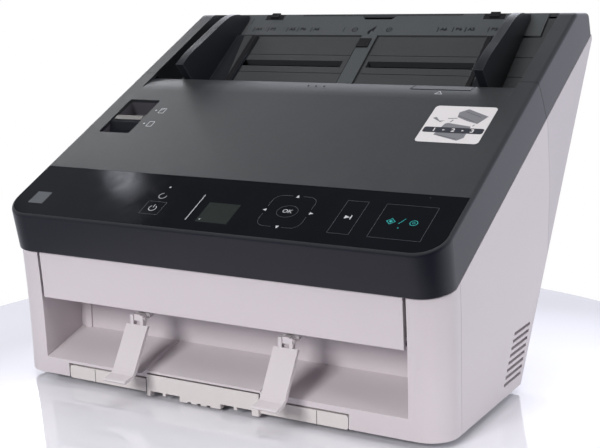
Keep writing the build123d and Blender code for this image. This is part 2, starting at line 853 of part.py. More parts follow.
def make_stopper_bracket(side):
    """Tongue under the bay's ceiling that carries a stopper on its pin."""
    middle = side * stopper_x
    root = [(28, 53.6), (28, bay_top), (22.2, bay_top), (21.2, 53.6)]
    bracket = prism([(11.4, 53.2), (11.4, 49.4), (15, 48.9)] + root, middle - 2.2, middle + 2.2)
    web = [(17.5, 53.5), (17.5, 50.2)] + root
    bracket += prism(web, middle - 5, middle + 5)
    return bracket + disc(stopper_axis, 1.25, middle - 5.2, middle + 5.2)


def make_exit_tray():
    """Pull-out tray under the bay floor with a grip at each side."""
    plate = box(tray_left + 2, tray_right - 2, 18, 122, 7.2, 9.2)
    for low, high in ((tray_left + 20, tray_mid_left - 0.4), (tray_mid_right + 0.4, tray_right - 20)):
        plate += tray_grip(tray_top, low, high, 18.5)
    for x in (tray_left + 2, tray_right - 4, tray_mid_left - 2.6, tray_mid_right + 0.6):
        plate += box(x, x + 2, 18.4, 122, 9.1, 12.4)
    return plate


def tray_grip(top, x_low, x_high, rear, inset=0.3, low=foot_height - 0.6):
    """Grip bar whose front follows the body's front, a little behind it."""
    return curved_prism(low, top, inset, [(rear, top), (rear, low)], x_low, x_high)


def make_tray_end(side):
    """End cap of the tray's grip, with its outer corners rounded."""
    left = tray_left if side < 0 else tray_right - 20
    cap = tray_grip(tray_top, left, left + 20, 18)
    outer = left if side < 0 else left + 20
    ends = []
    for edge in cap.edges().filter_by(Axis.Y):
        if abs((edge @ 0.5).X - outer) < 0.1:
            ends.append(edge)
    return fillet(ends, 1.6)


def make_tray_extension():
    """Middle piece that slides on inside the tray, with finger cut-outs under its grip."""
    plate = box(tray_mid_left, tray_mid_right, 13.6, 112, 9.6, 11.6)
    plate += tray_grip(tray_mid_step, tray_mid_left, tray_mid_right, 16.4, -tray_mid_proud, 2.2)
    near = front_depth(tray_mid_top) - 0.3
    plate += tray_grip(tray_mid_top, tray_mid_left, tray_mid_right, near, -tray_mid_proud, tray_mid_step)
    hooks = (-34.5, 17)
    for hook in hooks:
        for low, high in ((hook - 10.5, hook - 1), (hook + 1, hook + 11.5)):
            plate -= box(low, high, 0, 18, 0, 5.4)
        plate -= box(hook - 1.1, hook + 1.1, 0, 18, 0, 3.6)
    for x in (-16, -9, -2):
        plate -= box(x - 1.4, x + 1.4, 0, 18, 0, 3)
    return plate


# Inner parts


def make_base_plate():
    """Metal floor inside the body's walls."""
    near = front_depth(5) + skin + 0.3
    inner = half_width - skin - 0.3
    outline = Pos(0, (near + 137) / 2 + front_y) * Rectangle(2 * inner, 137 - near)
    corners = outline.vertices().group_by(Axis.Y)[0]
    outline = fillet(corners, corner_radius - skin)
    plate = Pos(0, 0, foot_height) * extrude(outline, 2)
    return plate - box(tray_left - 1, tray_right + 1, 0, 19, 0, 10)


def make_tray_rail(side):
    """Rail on the floor that holds one edge of the tray."""
    edge = tray_left + 1.7 if side < 0 else tray_right - 1.7
    low, high = sorted((edge, edge + side * 2))
    lip_low, lip_high = sorted((edge - side * 3, edge + side * 2))
    return box(low, high, 26, 130, 6.5, 14.2) + box(lip_low, lip_high, 26, 130, 12.7, 14.2)


def chassis_outline():
    """Steel side plate, under the lid band and along the hopper plate."""
    return [
        (27, 64),
        (34, band_z(34) - 6),
        (134, band_z(134) - 6),
        (141, 170),
        (153, 171),
        (158, 165),
        (171, 168.6),
        (226, 212.4),
        (240, 190),
        (136, 8),
        (bay_rear + 3, 8),
        (bay_rear + 3, 60),
    ]


def make_chassis(side):
    """Steel side plate that carries the driven rollers."""
    low, high = sorted((side * bay_half, side * chassis_out))
    plate = prism(chassis_outline(), low, high)
    plate -= prism([(0, 0), (0, 66.3), (24.3, 66.3), (bay_rear + 2.3, 60.3), (bay_rear + 2.3, 0)], low, high)
    for place, radius, roller_side, shaft in base_rollers():
        plate -= disc(path_point(place, roller_side * (radius + roller_gap)), 5, low, high)
    if side < 0:
        plate -= disc(motor_axis, 6, low, high)
    return plate - prism([(150, 110), (196, 150), (196, 176), (150, 150)], low, high)


def make_bushings():
    """Ring bearings of the driven shafts, pressed into the side plates."""
    rings = []
    for place, radius, roller_side, shaft in base_rollers():
        centre = path_point(place, roller_side * (radius + roller_gap))
        ring = disc(centre, 5, bay_half, chassis_out) + disc(centre, 6.2, bay_half - 1, bay_half)
        rings += pair(ring - disc(centre, shaft + 0.05, bay_half - 2, chassis_out + 1))
    return rings


def make_base_guide():
    """Lower guide plate of the paper path."""
    plate = slab(path_plane, -bay_half + 1.2, bay_half - 1.2, 5, 115, -guide_top, -path_gap)
    for cut in tyre_windows(path_plane, base_rollers(), -10, 0):
        plate -= cut
    half = glass_width / 2
    reach = glass_length / 2
    return plate - slab(path_plane, -half, half, glass_place - reach, glass_place + reach, -10, 0)


def make_motor():
    """Drive motor: round can on a flange, shaft through the side plate."""
    can = disc(motor_axis, 19, -125.8, -88)
    flange = disc(motor_axis, 22, -bay_half, -125.8)
    return can + flange + disc(motor_axis, 2.5, -137, -bay_half)


def make_main_board():
    return box(-110, 110, 66, 126, 18, 19.6)


def make_feet():
    feet = []
    for x in (-126, 126):
        for depth in (31, 130):
            disc_foot = Pos(x, front_y + depth, foot_height / 2) * Cylinder(7, foot_height)
            feet.append(disc_foot)
    return feet


def write(name, *solids):
    shape = solids[0] if len(solids) == 1 else Compound(children=list(solids))
    export_step(shape, os.path.join("parts", name + ".step"))


def main():
    os.makedirs("parts", exist_ok=True)
    write("door_cover", make_door_cover())
    write("control_panel", make_control_panel())
    write("display_window", make_display_window())
    write("selector_well", make_selector_well())
    write("feed_selector", make_feed_selector())
    write("front_strip", make_front_strip())
    write("door_frame", make_door_frame())
    write("door_guide", make_door_guide())
    write("upper_glass", make_glass(1))
    write("lower_glass", make_glass(-1))
    write("upper_sensor", make_sensor(1))
    write("lower_sensor", make_sensor(-1))
    retard, *pinches = door_rollers()
    shaft, tyres = make_roller(retard, cheek_out + 1)
    write("retard_shaft", shaft)
    write("retard_tyres", *tyres)
    for name, roller in zip(("upper_pinch", "lower_pinch", "exit_pinch"), pinches):
        write(name + "_roller", make_moulded_roller(roller, cheek_out + 1))
    names = ("feed", "upper_drive", "lower_drive", "exit_drive")
    for name, roller in zip(names, base_rollers()):
        shaft, tyres = make_roller(roller, chassis_out + 2)
        write(name + "_shaft", shaft)
        write(name + "_tyres", *tyres)
    write("release_lever", make_release_lever())
    write("latch_shaft", make_latch_shaft() + make_latch_hook(-1) + make_latch_hook(1))
    write("latch_strikes", make_strike(-1), make_strike(1))
    shell = body_shell()
    write("front_frame", make_front_frame(shell))
    write("left_side_panel", make_side_panel(shell, -1))
    write("right_side_panel", make_side_panel(shell, 1))
    write("rear_cover", make_rear_cover(shell))
    write("hinge_pins", make_hinge_pin(-1), make_hinge_pin(1))
    write("power_inlet", make_power_inlet())
    write("usb_socket", make_usb_socket())
    write("hopper_housing", make_hopper_housing())
    write("hopper_plate", make_hopper_plate())
    write("hopper_extension", make_hopper_extension())
    write("extension_clips", make_extension_clip(-1), make_extension_clip(1))
    write("extension_latch", make_extension_latch())
    write("left_document_guide", make_document_guide(-1) + make_guide_rack(-1))
    write("right_document_guide", make_document_guide(1) + make_guide_rack(1))
    write("guide_pinion", make_guide_pinion())
    write("left_stopper", make_stopper(-1))
    write("right_stopper", make_stopper(1))
    write("stopper_brackets", make_stopper_bracket(-1), make_stopper_bracket(1))
    write("exit_tray", make_exit_tray())
    write("tray_end_caps", make_tray_end(-1), make_tray_end(1))
    write("tray_extension", make_tray_extension())
    write("base_plate", make_base_plate())
    write("tray_rails", make_tray_rail(-1), make_tray_rail(1))
    write("roller_bushings", *make_bushings())
    write("left_chassis", make_chassis(-1))
    write("right_chassis", make_chassis(1))
    write("base_guide", make_base_guide())
    write("drive_motor", make_motor())
    write("main_board", make_main_board())
    write("rubber_feet", *make_feet())


main()
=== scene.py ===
import json
from math import cos, pi, radians, sin

import bpy
from mathutils import Euler, Matrix, Vector


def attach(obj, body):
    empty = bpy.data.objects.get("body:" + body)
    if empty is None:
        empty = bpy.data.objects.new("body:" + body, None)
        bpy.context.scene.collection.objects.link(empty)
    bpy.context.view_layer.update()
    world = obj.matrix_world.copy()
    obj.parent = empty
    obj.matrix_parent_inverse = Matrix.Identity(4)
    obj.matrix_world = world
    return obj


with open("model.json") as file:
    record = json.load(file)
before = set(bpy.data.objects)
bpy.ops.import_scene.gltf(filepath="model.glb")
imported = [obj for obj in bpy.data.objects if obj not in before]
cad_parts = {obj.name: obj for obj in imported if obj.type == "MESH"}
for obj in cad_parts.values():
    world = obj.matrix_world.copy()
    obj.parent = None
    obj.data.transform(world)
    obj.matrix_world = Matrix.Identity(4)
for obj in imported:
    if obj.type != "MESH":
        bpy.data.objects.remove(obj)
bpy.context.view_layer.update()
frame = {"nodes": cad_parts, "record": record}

nodes = frame["nodes"]
print("frame loaded,", len(nodes), "nodes")


# The slopes of the machine, in metres: the lid's starts at its front edge, the hopper's at its top
lidTilt = radians(28)
lidFrontZ = 0.111
hopperTilt = radians(38.5)
hopperDepth = 0.241
hopperTopZ = 0.231
frontY = -0.1295
lidBase = Matrix.Translation((0, frontY, lidFrontZ)) @ Matrix.Rotation(lidTilt, 4, "X")
hopperTop = Matrix.Translation((0, frontY + hopperDepth, hopperTopZ))
hopperBase = hopperTop @ Matrix.Rotation(hopperTilt, 4, "X")
mm = 0.001


# Camera, at the photograph's angle
cameraPlace = {
    "location": (0.36563, -0.65735, 0.23053),
    "turn": 29.37,
    "down": 10.20,
    "roll": -0.23,
    "lens": 68.30,
    "sensor": 36,
    "clip": (0.01, 50),
}


def makeCamera():
    data = bpy.data.cameras.new("camera")
    camera = bpy.data.objects.new("camera", data)
    bpy.context.scene.collection.objects.link(camera)
    data.sensor_width = cameraPlace["sensor"]
    data.lens = cameraPlace["lens"]
    data.clip_start, data.clip_end = cameraPlace["clip"]
    aim = Euler((radians(90 - cameraPlace["down"]), 0, radians(cameraPlace["turn"]))).to_matrix()
    aim = aim @ Matrix.Rotation(radians(cameraPlace["roll"]), 3, "Z")
    camera.rotation_euler = aim.to_euler()
    camera.location = cameraPlace["location"]
    bpy.context.scene.camera = camera


makeCamera()
print("camera ready")


# Small helpers for modelling by hand
def inMetres(values):
    return [value * mm for value in values]


def deselectAll():
    if bpy.context.mode != "OBJECT":
        bpy.ops.object.mode_set(mode="OBJECT")
    bpy.ops.object.select_all(action="DESELECT")


def settle(piece, base):
    # puts a piece's place into its mesh, then moves the mesh from a slope's plane to the machine
    deselectAll()
    piece.select_set(True)
    bpy.context.view_layer.objects.active = piece
    bpy.ops.object.transform_apply(location=True, rotation=True, scale=True)
    piece.data.transform(base)
    piece.data.update()
    return piece


def joinPieces(parts, name):
    deselectAll()
    for part in parts:
        part.select_set(True)
    bpy.context.view_layer.objects.active = parts[0]
    if len(parts) > 1:
        bpy.ops.object.join()
    joined = bpy.context.view_layer.objects.active
    joined.name = name
    joined.data.name = name
    return joined


def finishPiece(piece, body, material):
    piece.data.materials.clear()
    piece.data.materials.append(material)
    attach(piece, body)


def applyModifier(piece, kind, **values):
    deselectAll()
    piece.select_set(True)
    bpy.context.view_layer.objects.active = piece
    modifier = piece.modifiers.new(kind.lower(), kind)
    for key, value in values.items():
        setattr(modifier, key, value)
    bpy.ops.object.modifier_apply(modifier=modifier.name)


def plate(x0, x1, y0, y1, z, corner=0.0, steps=4):
    # thin sheet with rounded corners, from a plane
    deselectAll()
    bpy.ops.mesh.primitive_plane_add(size=1, location=((x0 + x1) / 2, (y0 + y1) / 2, z))
    piece = bpy.context.active_object
    piece.scale = (x1 - x0, y1 - y0, 1)
    bpy.ops.object.transform_apply(location=True, rotation=True, scale=True)
    if corner:
        bpy.ops.object.mode_set(mode="EDIT")
        bpy.ops.mesh.select_all(action="SELECT")
        bpy.ops.mesh.bevel(offset=corner, segments=steps, affect="VERTICES")
        bpy.ops.object.mode_set(mode="OBJECT")
    return piece


def thicken(piece, height):
    # gives a thin sheet its thickness, upwards
    bpy.ops.object.mode_set(mode="EDIT")
    bpy.ops.mesh.select_all(action="SELECT")
    bpy.ops.mesh.extrude_region_move(TRANSFORM_OT_translate={"value": (0, 0, height)})
    bpy.ops.mesh.select_all(action="SELECT")
    bpy.ops.mesh.normals_make_consistent(inside=False)
    bpy.ops.object.mode_set(mode="OBJECT")
    return piece


def outline(x0, x1, y0, y1, z, corner, line):
    # printed line round a key
    piece = plate(x0, x1, y0, y1, z, corner)
    bpy.ops.object.mode_set(mode="EDIT")
    bpy.ops.mesh.select_all(action="SELECT")
    bpy.ops.mesh.inset(thickness=line, use_even_offset=True)
    bpy.ops.mesh.delete(type="FACE")
    bpy.ops.object.mode_set(mode="OBJECT")
    return piece


def polygon(x, y, z, radius, sides, turn=0.0, line=0.0, stretch=1.0):
    # filled polygon, or only its line
    deselectAll()
    place = (x, y, z)
    bpy.ops.mesh.primitive_circle_add(vertices=sides, radius=radius, fill_type="NGON", location=place)
    piece = bpy.context.active_object
    piece.rotation_euler = (0, 0, turn)
    piece.scale = (stretch, 1, 1)
    bpy.ops.object.transform_apply(location=True, rotation=True, scale=True)
    if line:
        bpy.ops.object.mode_set(mode="EDIT")
        bpy.ops.mesh.select_all(action="SELECT")
        bpy.ops.mesh.inset(thickness=line, use_even_offset=True)
        bpy.ops.mesh.delete(type="FACE")
        bpy.ops.object.mode_set(mode="OBJECT")
    return piece


def bar(x, y, z, length, line, turn=0.0):
    piece = plate(-length / 2, length / 2, -line / 2, line / 2, 0)
    piece.rotation_euler = (0, 0, turn)
    piece.location = (x, y, z)
    bpy.ops.object.transform_apply(location=True, rotation=True, scale=True)
    return piece


def dropPart(piece, drop):
    # removes the faces whose centre the test names
    bpy.ops.object.mode_set(mode="EDIT")
    bpy.ops.mesh.select_all(action="DESELECT")
    bpy.ops.object.mode_set(mode="OBJECT")
    for face in piece.data.polygons:
        face.select = drop(face.center)
    bpy.ops.object.mode_set(mode="EDIT")
    bpy.ops.mesh.delete(type="FACE")
    bpy.ops.object.mode_set(mode="OBJECT")
    return piece


def word(letters, x, y, z, size, bold=0.0):
    deselectAll()
    bpy.ops.object.text_add(location=(x, y, z))
    piece = bpy.context.active_object
    piece.data.body = letters
    piece.data.size = size
    piece.data.align_x = "CENTER"
    piece.data.align_y = "CENTER"
    piece.data.offset = bold * size
    bpy.ops.object.convert(target="MESH")
    bpy.ops.object.transform_apply(location=True, rotation=True, scale=True)
    return piece


# Shader groups shared by the finishes
def newGroup(name, inputs, outputs):
    group = bpy.data.node_groups.new(name, "ShaderNodeTree")
    for label, kind, value in inputs:
        socket = group.interface.new_socket(name=label, in_out="INPUT", socket_type=kind)
        if value is not None:
            socket.default_value = value
    for label, kind in outputs:
        group.interface.new_socket(name=label, in_out="OUTPUT", socket_type=kind)
    return group, group.nodes.new("NodeGroupInput"), group.nodes.new("NodeGroupOutput")


def addNode(tree, kind, links=(), **values):
    node = tree.nodes.new(kind)
    for key, value in values.items():
        if key in node.inputs:
            node.inputs[key].default_value = value
        else:
            setattr(node, key, value)
    for key, source in links:
        tree.links.new(source, node.inputs[key])
    return node


def calculate(tree, operation, first, second=0.0):
    node = tree.nodes.new("ShaderNodeMath")
    node.operation = operation
    for index, source in enumerate((first, second)):
        if isinstance(source, (int, float)):
            node.inputs[index].default_value = source
        else:
            tree.links.new(source, node.inputs[index])
    return node.outputs[0]


def remap(tree, source, low, high, toLow=0.0, toHigh=1.0):
    node = tree.nodes.new("ShaderNodeMapRange")
    tree.links.new(source, node.inputs["Value"])
    ends = {"From Min": low, "From Max": high, "To Min": toLow, "To Max": toHigh}
    for label, value in ends.items():
        node.inputs[label].default_value = value
    return node.outputs[0]


# Pairs are the values where a mask starts and where it is full
grainShape = {
    "detail": 3.0,
    "roughness": 0.6,
    "wideScale": 14.0,
    "wideDetail": 4.0,
    "speckle": (0.35, 0.68),
}


def makeGrainGroup():
    # fine moulded grain: a height, a gentle change of tone, and paler and darker grains
    group, fromIn, toOut = newGroup(
        "mouldedGrain",
        [
            ("Vector", "NodeSocketVector", None),
            ("Scale", "NodeSocketFloat", 2000.0),
            ("Tone", "NodeSocketFloat", 0.1),
        ],
        [
            ("Height", "NodeSocketFloat"),
            ("Shade", "NodeSocketFloat"),
            ("Speckle", "NodeSocketFloat"),
        ],
    )
    place = ("Vector", fromIn.outputs["Vector"])
    scale = ("Scale", fromIn.outputs["Scale"])
    detail, roughness = grainShape["detail"], grainShape["roughness"]
    fine = addNode(group, "ShaderNodeTexNoise", [place, scale], Detail=detail, Roughness=roughness)
    cells = addNode(group, "ShaderNodeTexVoronoi", [place, scale], feature="SMOOTH_F1")
    wideScale, wideDetail = grainShape["wideScale"], grainShape["wideDetail"]
    wide = addNode(group, "ShaderNodeTexNoise", [place], Scale=wideScale, Detail=wideDetail)
    height = calculate(group, "ADD", fine.outputs["Fac"], cells.outputs["Distance"])
    centred = calculate(group, "SUBTRACT", wide.outputs["Fac"], 0.5)
    scaled = calculate(group, "MULTIPLY", centred, fromIn.outputs["Tone"])
    group.links.new(height, toOut.inputs["Height"])
    group.links.new(calculate(group, "ADD", scaled, 1.0), toOut.inputs["Shade"])
    speckle = remap(group, fine.outputs["Fac"], *grainShape["speckle"])
    group.links.new(speckle, toOut.inputs["Speckle"])
    return group


wearShape = {
    "width": 0.0009,
    "sharp": (0.995, 0.93),
    "cloudScale": 60.0,
    "patchy": (0.3, 0.7),
    "least": 0.25,
}


def makeWearAndHighlightGroup():
    # edges rubbed a little paler by hands; set strong, as on the guides, the paler edges are mostly a
    # painted highlight
    group, fromIn, toOut = newGroup(
        "edgeWearAndHighlight",
        [("Vector", "NodeSocketVector", None), ("Amount", "NodeSocketFloat", 0.3)],
        [("WearAndHighlight", "NodeSocketFloat")],
    )
    geometry = addNode(group, "ShaderNodeNewGeometry")
    softened = addNode(group, "ShaderNodeBevel", samples=4, Radius=wearShape["width"])
    turned = addNode(group, "ShaderNodeVectorMath", operation="DOT_PRODUCT")
    group.links.new(geometry.outputs["Normal"], turned.inputs[0])
    group.links.new(softened.outputs["Normal"], turned.inputs[1])
    sharp = remap(group, turned.outputs["Value"], *wearShape["sharp"])
    place = ("Vector", fromIn.outputs["Vector"])
    cloud = addNode(group, "ShaderNodeTexNoise", [place], Scale=wearShape["cloudScale"], Detail=5.0)
    patchy = remap(group, cloud.outputs["Fac"], *wearShape["patchy"], wearShape["least"], 1.0)
    mixed = calculate(group, "MULTIPLY", sharp, patchy)
    wear = calculate(group, "MULTIPLY", mixed, fromIn.outputs["Amount"])
    group.links.new(wear, toOut.inputs["WearAndHighlight"])
    return group


dustShape = {"up": (0.4, 1.0), "cloudScale": 35.0, "near": (0.10, 0.04), "few": (0.86, 0.96)}


def makeDustGroup():
    # thin dust that lies on what faces up, and single specks of it
    group, fromIn, toOut = newGroup(
        "restingDust",
        [
            ("Vector", "NodeSocketVector", None),
            ("Amount", "NodeSocketFloat", 0.1),
            ("Specks", "NodeSocketFloat", 0.0),
            ("Spacing", "NodeSocketFloat", 260.0),
        ],
        [("Dust", "NodeSocketFloat")],
    )
    place = ("Vector", fromIn.outputs["Vector"])
    geometry = addNode(group, "ShaderNodeNewGeometry")
    parts = addNode(group, "ShaderNodeSeparateXYZ", [("Vector", geometry.outputs["Normal"])])
    up = remap(group, parts.outputs["Z"], *dustShape["up"])
    scale = dustShape["cloudScale"]
    cloud = addNode(group, "ShaderNodeTexNoise", [place], Scale=scale, Detail=6.0, Roughness=0.7)
    film = calculate(group, "MULTIPLY", cloud.outputs["Fac"], fromIn.outputs["Amount"])
    spacing = ("Scale", fromIn.outputs["Spacing"])
    cells = addNode(group, "ShaderNodeTexVoronoi", [place, spacing])
    chosen = addNode(group, "ShaderNodeSeparateColor", [("Color", cells.outputs["Color"])])
    near = remap(group, cells.outputs["Distance"], *dustShape["near"])
    few = remap(group, chosen.outputs["Red"], *dustShape["few"])
    spots = calculate(group, "MULTIPLY", near, few)
    speck = calculate(group, "MULTIPLY", spots, fromIn.outputs["Specks"])
    total = calculate(group, "MULTIPLY", calculate(group, "ADD", film, speck), up)
    group.links.new(total, toOut.inputs["Dust"])
    return group


def heightAbove(group, parts, tilt, depth, height):
    # distance above a slope that passes through a depth and a height
    alongY = calculate(group, "SUBTRACT", parts.outputs["Y"], depth)
    alongZ = calculate(group, "SUBTRACT", parts.outputs["Z"], height)
    drop = calculate(group, "MULTIPLY", alongY, sin(tilt))
    rise = calculate(group, "MULTIPLY", alongZ, cos(tilt))
    return calculate(group, "SUBTRACT", rise, drop)


# In metres: distance above the lid's slope, from the middle plane, and above the table
lidFaceEnds = {"rise": (-0.0013, -0.0005), "across": (0.1385, 0.1378), "high": (0.155, 0.162)}


def makeLidGroup():
    # 1 on the lid's upper face and rear roll, 0 on the bezel, the side bands and underneath; the
    # cover's finish paints shade outside it, and its narrow edge along the panel's rim leaves a thin
    # lighter line there, a painted highlight
    group, fromIn, toOut = newGroup(
        "lidFace",
        [("Vector", "NodeSocketVector", None)],
        [("Face", "NodeSocketFloat")],
    )
    parts = addNode(group, "ShaderNodeSeparateXYZ", [("Vector", fromIn.outputs["Vector"])])
    rise = heightAbove(group, parts, lidTilt, frontY, lidFrontZ)
    face = remap(group, rise, *lidFaceEnds["rise"])
    across = calculate(group, "ABSOLUTE", parts.outputs["X"])
    inside = remap(group, across, *lidFaceEnds["across"])
    high = remap(group, parts.outputs["Z"], *lidFaceEnds["high"])
    roll = calculate(group, "MULTIPLY", inside, high)
    group.links.new(calculate(group, "MAXIMUM", face, roll), toOut.inputs["Face"])
    return group


grainGroup = makeGrainGroup()
wearGroup = makeWearAndHighlightGroup()
dustGroup = makeDustGroup()
lidGroup = makeLidGroup()
print("shader groups ready")


# Finishes
def newMaterial(name, roughness, **values):
    material = bpy.data.materials.new(name)
    material.use_nodes = True
    tree = material.node_tree
    shader = tree.nodes["Principled BSDF"]
    shader.inputs["Roughness"].default_value = roughness
    for key, value in values.items():
        shader.inputs[key.replace("_", " ")].default_value = value
    place = tree.nodes.new("ShaderNodeTexCoord").outputs["Object"]
    return material, tree, shader, place


def useGroup(tree, group, place, **values):
    node = tree.nodes.new("ShaderNodeGroup")
    node.node_tree = group
    tree.links.new(place, node.inputs["Vector"])
    for key, value in values.items():
        node.inputs[key].default_value = value
    return node


def bumpFrom(tree, height, strength, distance):
    bump = tree.nodes.new("ShaderNodeBump")
    bump.inputs["Strength"].default_value = strength
    bump.inputs["Distance"].default_value = distance
    tree.links.new(height, bump.inputs["Height"])
    return bump.outputs["Normal"]


def mixColour(tree, factor, first, second):
    mix = tree.nodes.new("ShaderNodeMix")
    mix.data_type = "RGBA"
    sockets = (mix.inputs[0], mix.inputs[6], mix.inputs[7])
    for source, socket in zip((factor, first, second), sockets):
        if isinstance(source, (tuple, float)):
            socket.default_value = source if isinstance(source, float) else (*source, 1)
        else:
            tree.links.new(source, socket)
    return mix.outputs[2]


# grain: size and depth of the moulded texture; speckle: how much paler and darker single grains are;
# tone: soft unevenness; paler and lift: colour of rubbed edges, which on the guides is mostly a
# painted highlight; spread: change of roughness
plasticUsual = {
    "grainScale": 2600.0,
    "grainDepth": 0.00006,
    "strength": 0.3,
    "speckle": 0.1,
    "tone": 0.12,
    "wear": 0.25,
    "dust": 0.04,
    "specks": 0.0,
    "paler": 1.6,
    "lift": 0.015,
    "spread": 0.04,
    "shades": (0.9, 1.1),
    "dustColour": (0.50, 0.50, 0.49),
}


def mouldedPlastic(name, colour, roughness, side=None, **changes):
    # plastic with moulded grain, soft tone changes, rubbed edges and a little dust; set strong, the
    # rubbed edges are a painted highlight, and with a side, shade is painted outside its mask
    look = {**plasticUsual, **changes}
    material, tree, shader, place = newMaterial(name, roughness)
    grain = useGroup(tree, grainGroup, place, Scale=look["grainScale"], Tone=look["tone"])
    rubbedAndHighlit = useGroup(tree, wearGroup, place, Amount=look["wear"])
    dusty = useGroup(tree, dustGroup, place, Amount=look["dust"], Specks=look["specks"])
    low = tuple(c * (1 - look["speckle"]) for c in colour)
    high = tuple(min(1, c * (1 + look["speckle"])) for c in colour)
    base = mixColour(tree, grain.outputs["Speckle"], low, high)
    smoothest, roughest = max(0, roughness - look["spread"]), roughness + look["spread"]
    rough = remap(tree, grain.outputs["Shade"], *look["shades"], smoothest, roughest)
    if side:
        face = useGroup(tree, side["mask"], place).outputs["Face"]
        # outside the mask the side colour is painted shade
        base = mixColour(tree, face, side["colour"], base)
        change = remap(tree, face, 0.0, 1.0, side["roughness"] - roughness, 0.0)
        rough = calculate(tree, "ADD", rough, change)
    shaded = addNode(tree, "ShaderNodeVectorMath", operation="MULTIPLY")
    tree.links.new(base, shaded.inputs[0])
    tree.links.new(grain.outputs["Shade"], shaded.inputs[1])
    pale = tuple(min(1, c * look["paler"] + look["lift"]) for c in colour)
    wornAndHighlit = mixColour(tree, rubbedAndHighlit.outputs["WearAndHighlight"], shaded.outputs[0], pale)
    final = mixColour(tree, dusty.outputs["Dust"], wornAndHighlit, look["dustColour"])
    tree.links.new(final, shader.inputs["Base Color"])
    tree.links.new(rough, shader.inputs["Roughness"])
    normal = bumpFrom(tree, grain.outputs["Height"], look["strength"], look["grainDepth"])
    tree.links.new(normal, shader.inputs["Normal"])
    return material


metalUsual = {
    "stretch": (40, 2500, 2500),
    "cloudScale": 70.0,
    "darker": 0.82,
    "rough": (-0.08, 0.1),
    "strength": 0.15,
    "depth": 0.00003,
}


def brushedMetal(name, colour, roughness):
    # sheet or ground steel with fine lines along x
    material, tree, shader, place = newMaterial(name, roughness, Metallic=1.0)
    stretched = addNode(tree, "ShaderNodeMapping", [("Vector", place)], Scale=metalUsual["stretch"])
    along = ("Vector", stretched.outputs[0])
    lines = addNode(tree, "ShaderNodeTexNoise", [along], Scale=1.0, Detail=4.0)
    cloudScale = metalUsual["cloudScale"]
    cloud = addNode(tree, "ShaderNodeTexNoise", [("Vector", place)], Scale=cloudScale, Detail=5.0)
    low = tuple(c * metalUsual["darker"] for c in colour)
    tree.links.new(mixColour(tree, cloud.outputs["Fac"], low, colour), shader.inputs["Base Color"])
    smoothest, roughest = (roughness + change for change in metalUsual["rough"])
    rough = remap(tree, lines.outputs["Fac"], 0.0, 1.0, smoothest, roughest)
    tree.links.new(rough, shader.inputs["Roughness"])
    normal = bumpFrom(tree, lines.outputs["Fac"], metalUsual["strength"], metalUsual["depth"])
    tree.links.new(normal, shader.inputs["Normal"])
    return material


inkUsual = {"cloudScale": 3000.0, "darker": 0.85, "strength": 0.1, "depth": 0.00001}


def printedInk(name, colour, roughness=0.45):
    # ink with the faint mottling of a screen print
    material, tree, shader, place = newMaterial(name, roughness)
    cloudScale = inkUsual["cloudScale"]
    cloud = addNode(tree, "ShaderNodeTexNoise", [("Vector", place)], Scale=cloudScale, Detail=2.0)
    low = tuple(c * inkUsual["darker"] for c in colour)
    tree.links.new(mixColour(tree, cloud.outputs["Fac"], low, colour), shader.inputs["Base Color"])
    normal = bumpFrom(tree, cloud.outputs["Fac"], inkUsual["strength"], inkUsual["depth"])
    tree.links.new(normal, shader.inputs["Normal"])
    return material


# side: the smoother skin outside a mask, its colour painted darker as shade on the bezel and side
# bands
coverSmoothSideAndShade = {"mask": lidGroup, "colour": (0.005, 0.005, 0.011), "roughness": 0.33}
coverLook = {
    "side": coverSmoothSideAndShade,
    "grainScale": 2200.0,
    "strength": 0.5,
    "speckle": 0.25,
    "wear": 0.2,
}
paleLook = {
    "grainScale": 3200.0,
    "strength": 0.14,
    "speckle": 0.02,
    "tone": 0.05,
    "wear": 0.08,
    "paler": 1.08,
    "dust": 0.03,
}
rubberLook = {"grainScale": 1500.0, "strength": 0.6}

finishes = {
    "cover_dark": mouldedPlastic("coverDark", (0.029, 0.0315, 0.0345), 0.44, **coverLook),
    "inner_black": mouldedPlastic("innerBlack", (0.018, 0.019, 0.021), 0.42, paler=2.0),
    "body_light": mouldedPlastic("bodyLight", (0.64, 0.585, 0.61), 0.42, **paleLook),
    "bay_light": mouldedPlastic("bayLight", (0.60, 0.56, 0.565), 0.5, **paleLook),
    "tray_light": mouldedPlastic("trayLight", (0.69, 0.645, 0.635), 0.42, **paleLook),
    "stopper_light": mouldedPlastic("stopperLight", (0.64, 0.59, 0.61), 0.36, **paleLook),
    "lever_dark": mouldedPlastic("leverDark", (0.030, 0.031, 0.036), 0.34, wear=0.4, paler=2.2),
    "roller_rubber": mouldedPlastic("rollerRubber", (0.06, 0.06, 0.064), 0.7, **rubberLook),
    "retard_rubber": mouldedPlastic("retardRubber", (0.20, 0.21, 0.23), 0.72, **rubberLook),
    "pinch_plastic": mouldedPlastic("pinchPlastic", (0.17, 0.175, 0.19), 0.35, strength=0.1),
    "foot_rubber": mouldedPlastic("footRubber", (0.02, 0.02, 0.02), 0.75, **rubberLook),
    "sensor_black": mouldedPlastic("sensorBlack", (0.02, 0.02, 0.022), 0.5),
    "gear_plastic": mouldedPlastic("gearPlastic", (0.62, 0.58, 0.48), 0.35, strength=0.1),
    "bushing_plastic": mouldedPlastic("bushingPlastic", (0.04, 0.04, 0.045), 0.35),
    "socket_black": mouldedPlastic("socketBlack", (0.02, 0.02, 0.022), 0.4),
    "shaft_steel": brushedMetal("shaftSteel", (0.62, 0.62, 0.64), 0.25),
    "plate_steel": brushedMetal("plateSteel", (0.56, 0.57, 0.59), 0.38),
    "motor_metal": brushedMetal("motorMetal", (0.5, 0.5, 0.52), 0.35),
    "socket_metal": brushedMetal("socketMetal", (0.6, 0.6, 0.62), 0.3),
}
hopperLook = {"grainScale": 2400.0, "strength": 0.4, "speckle": 0.2}
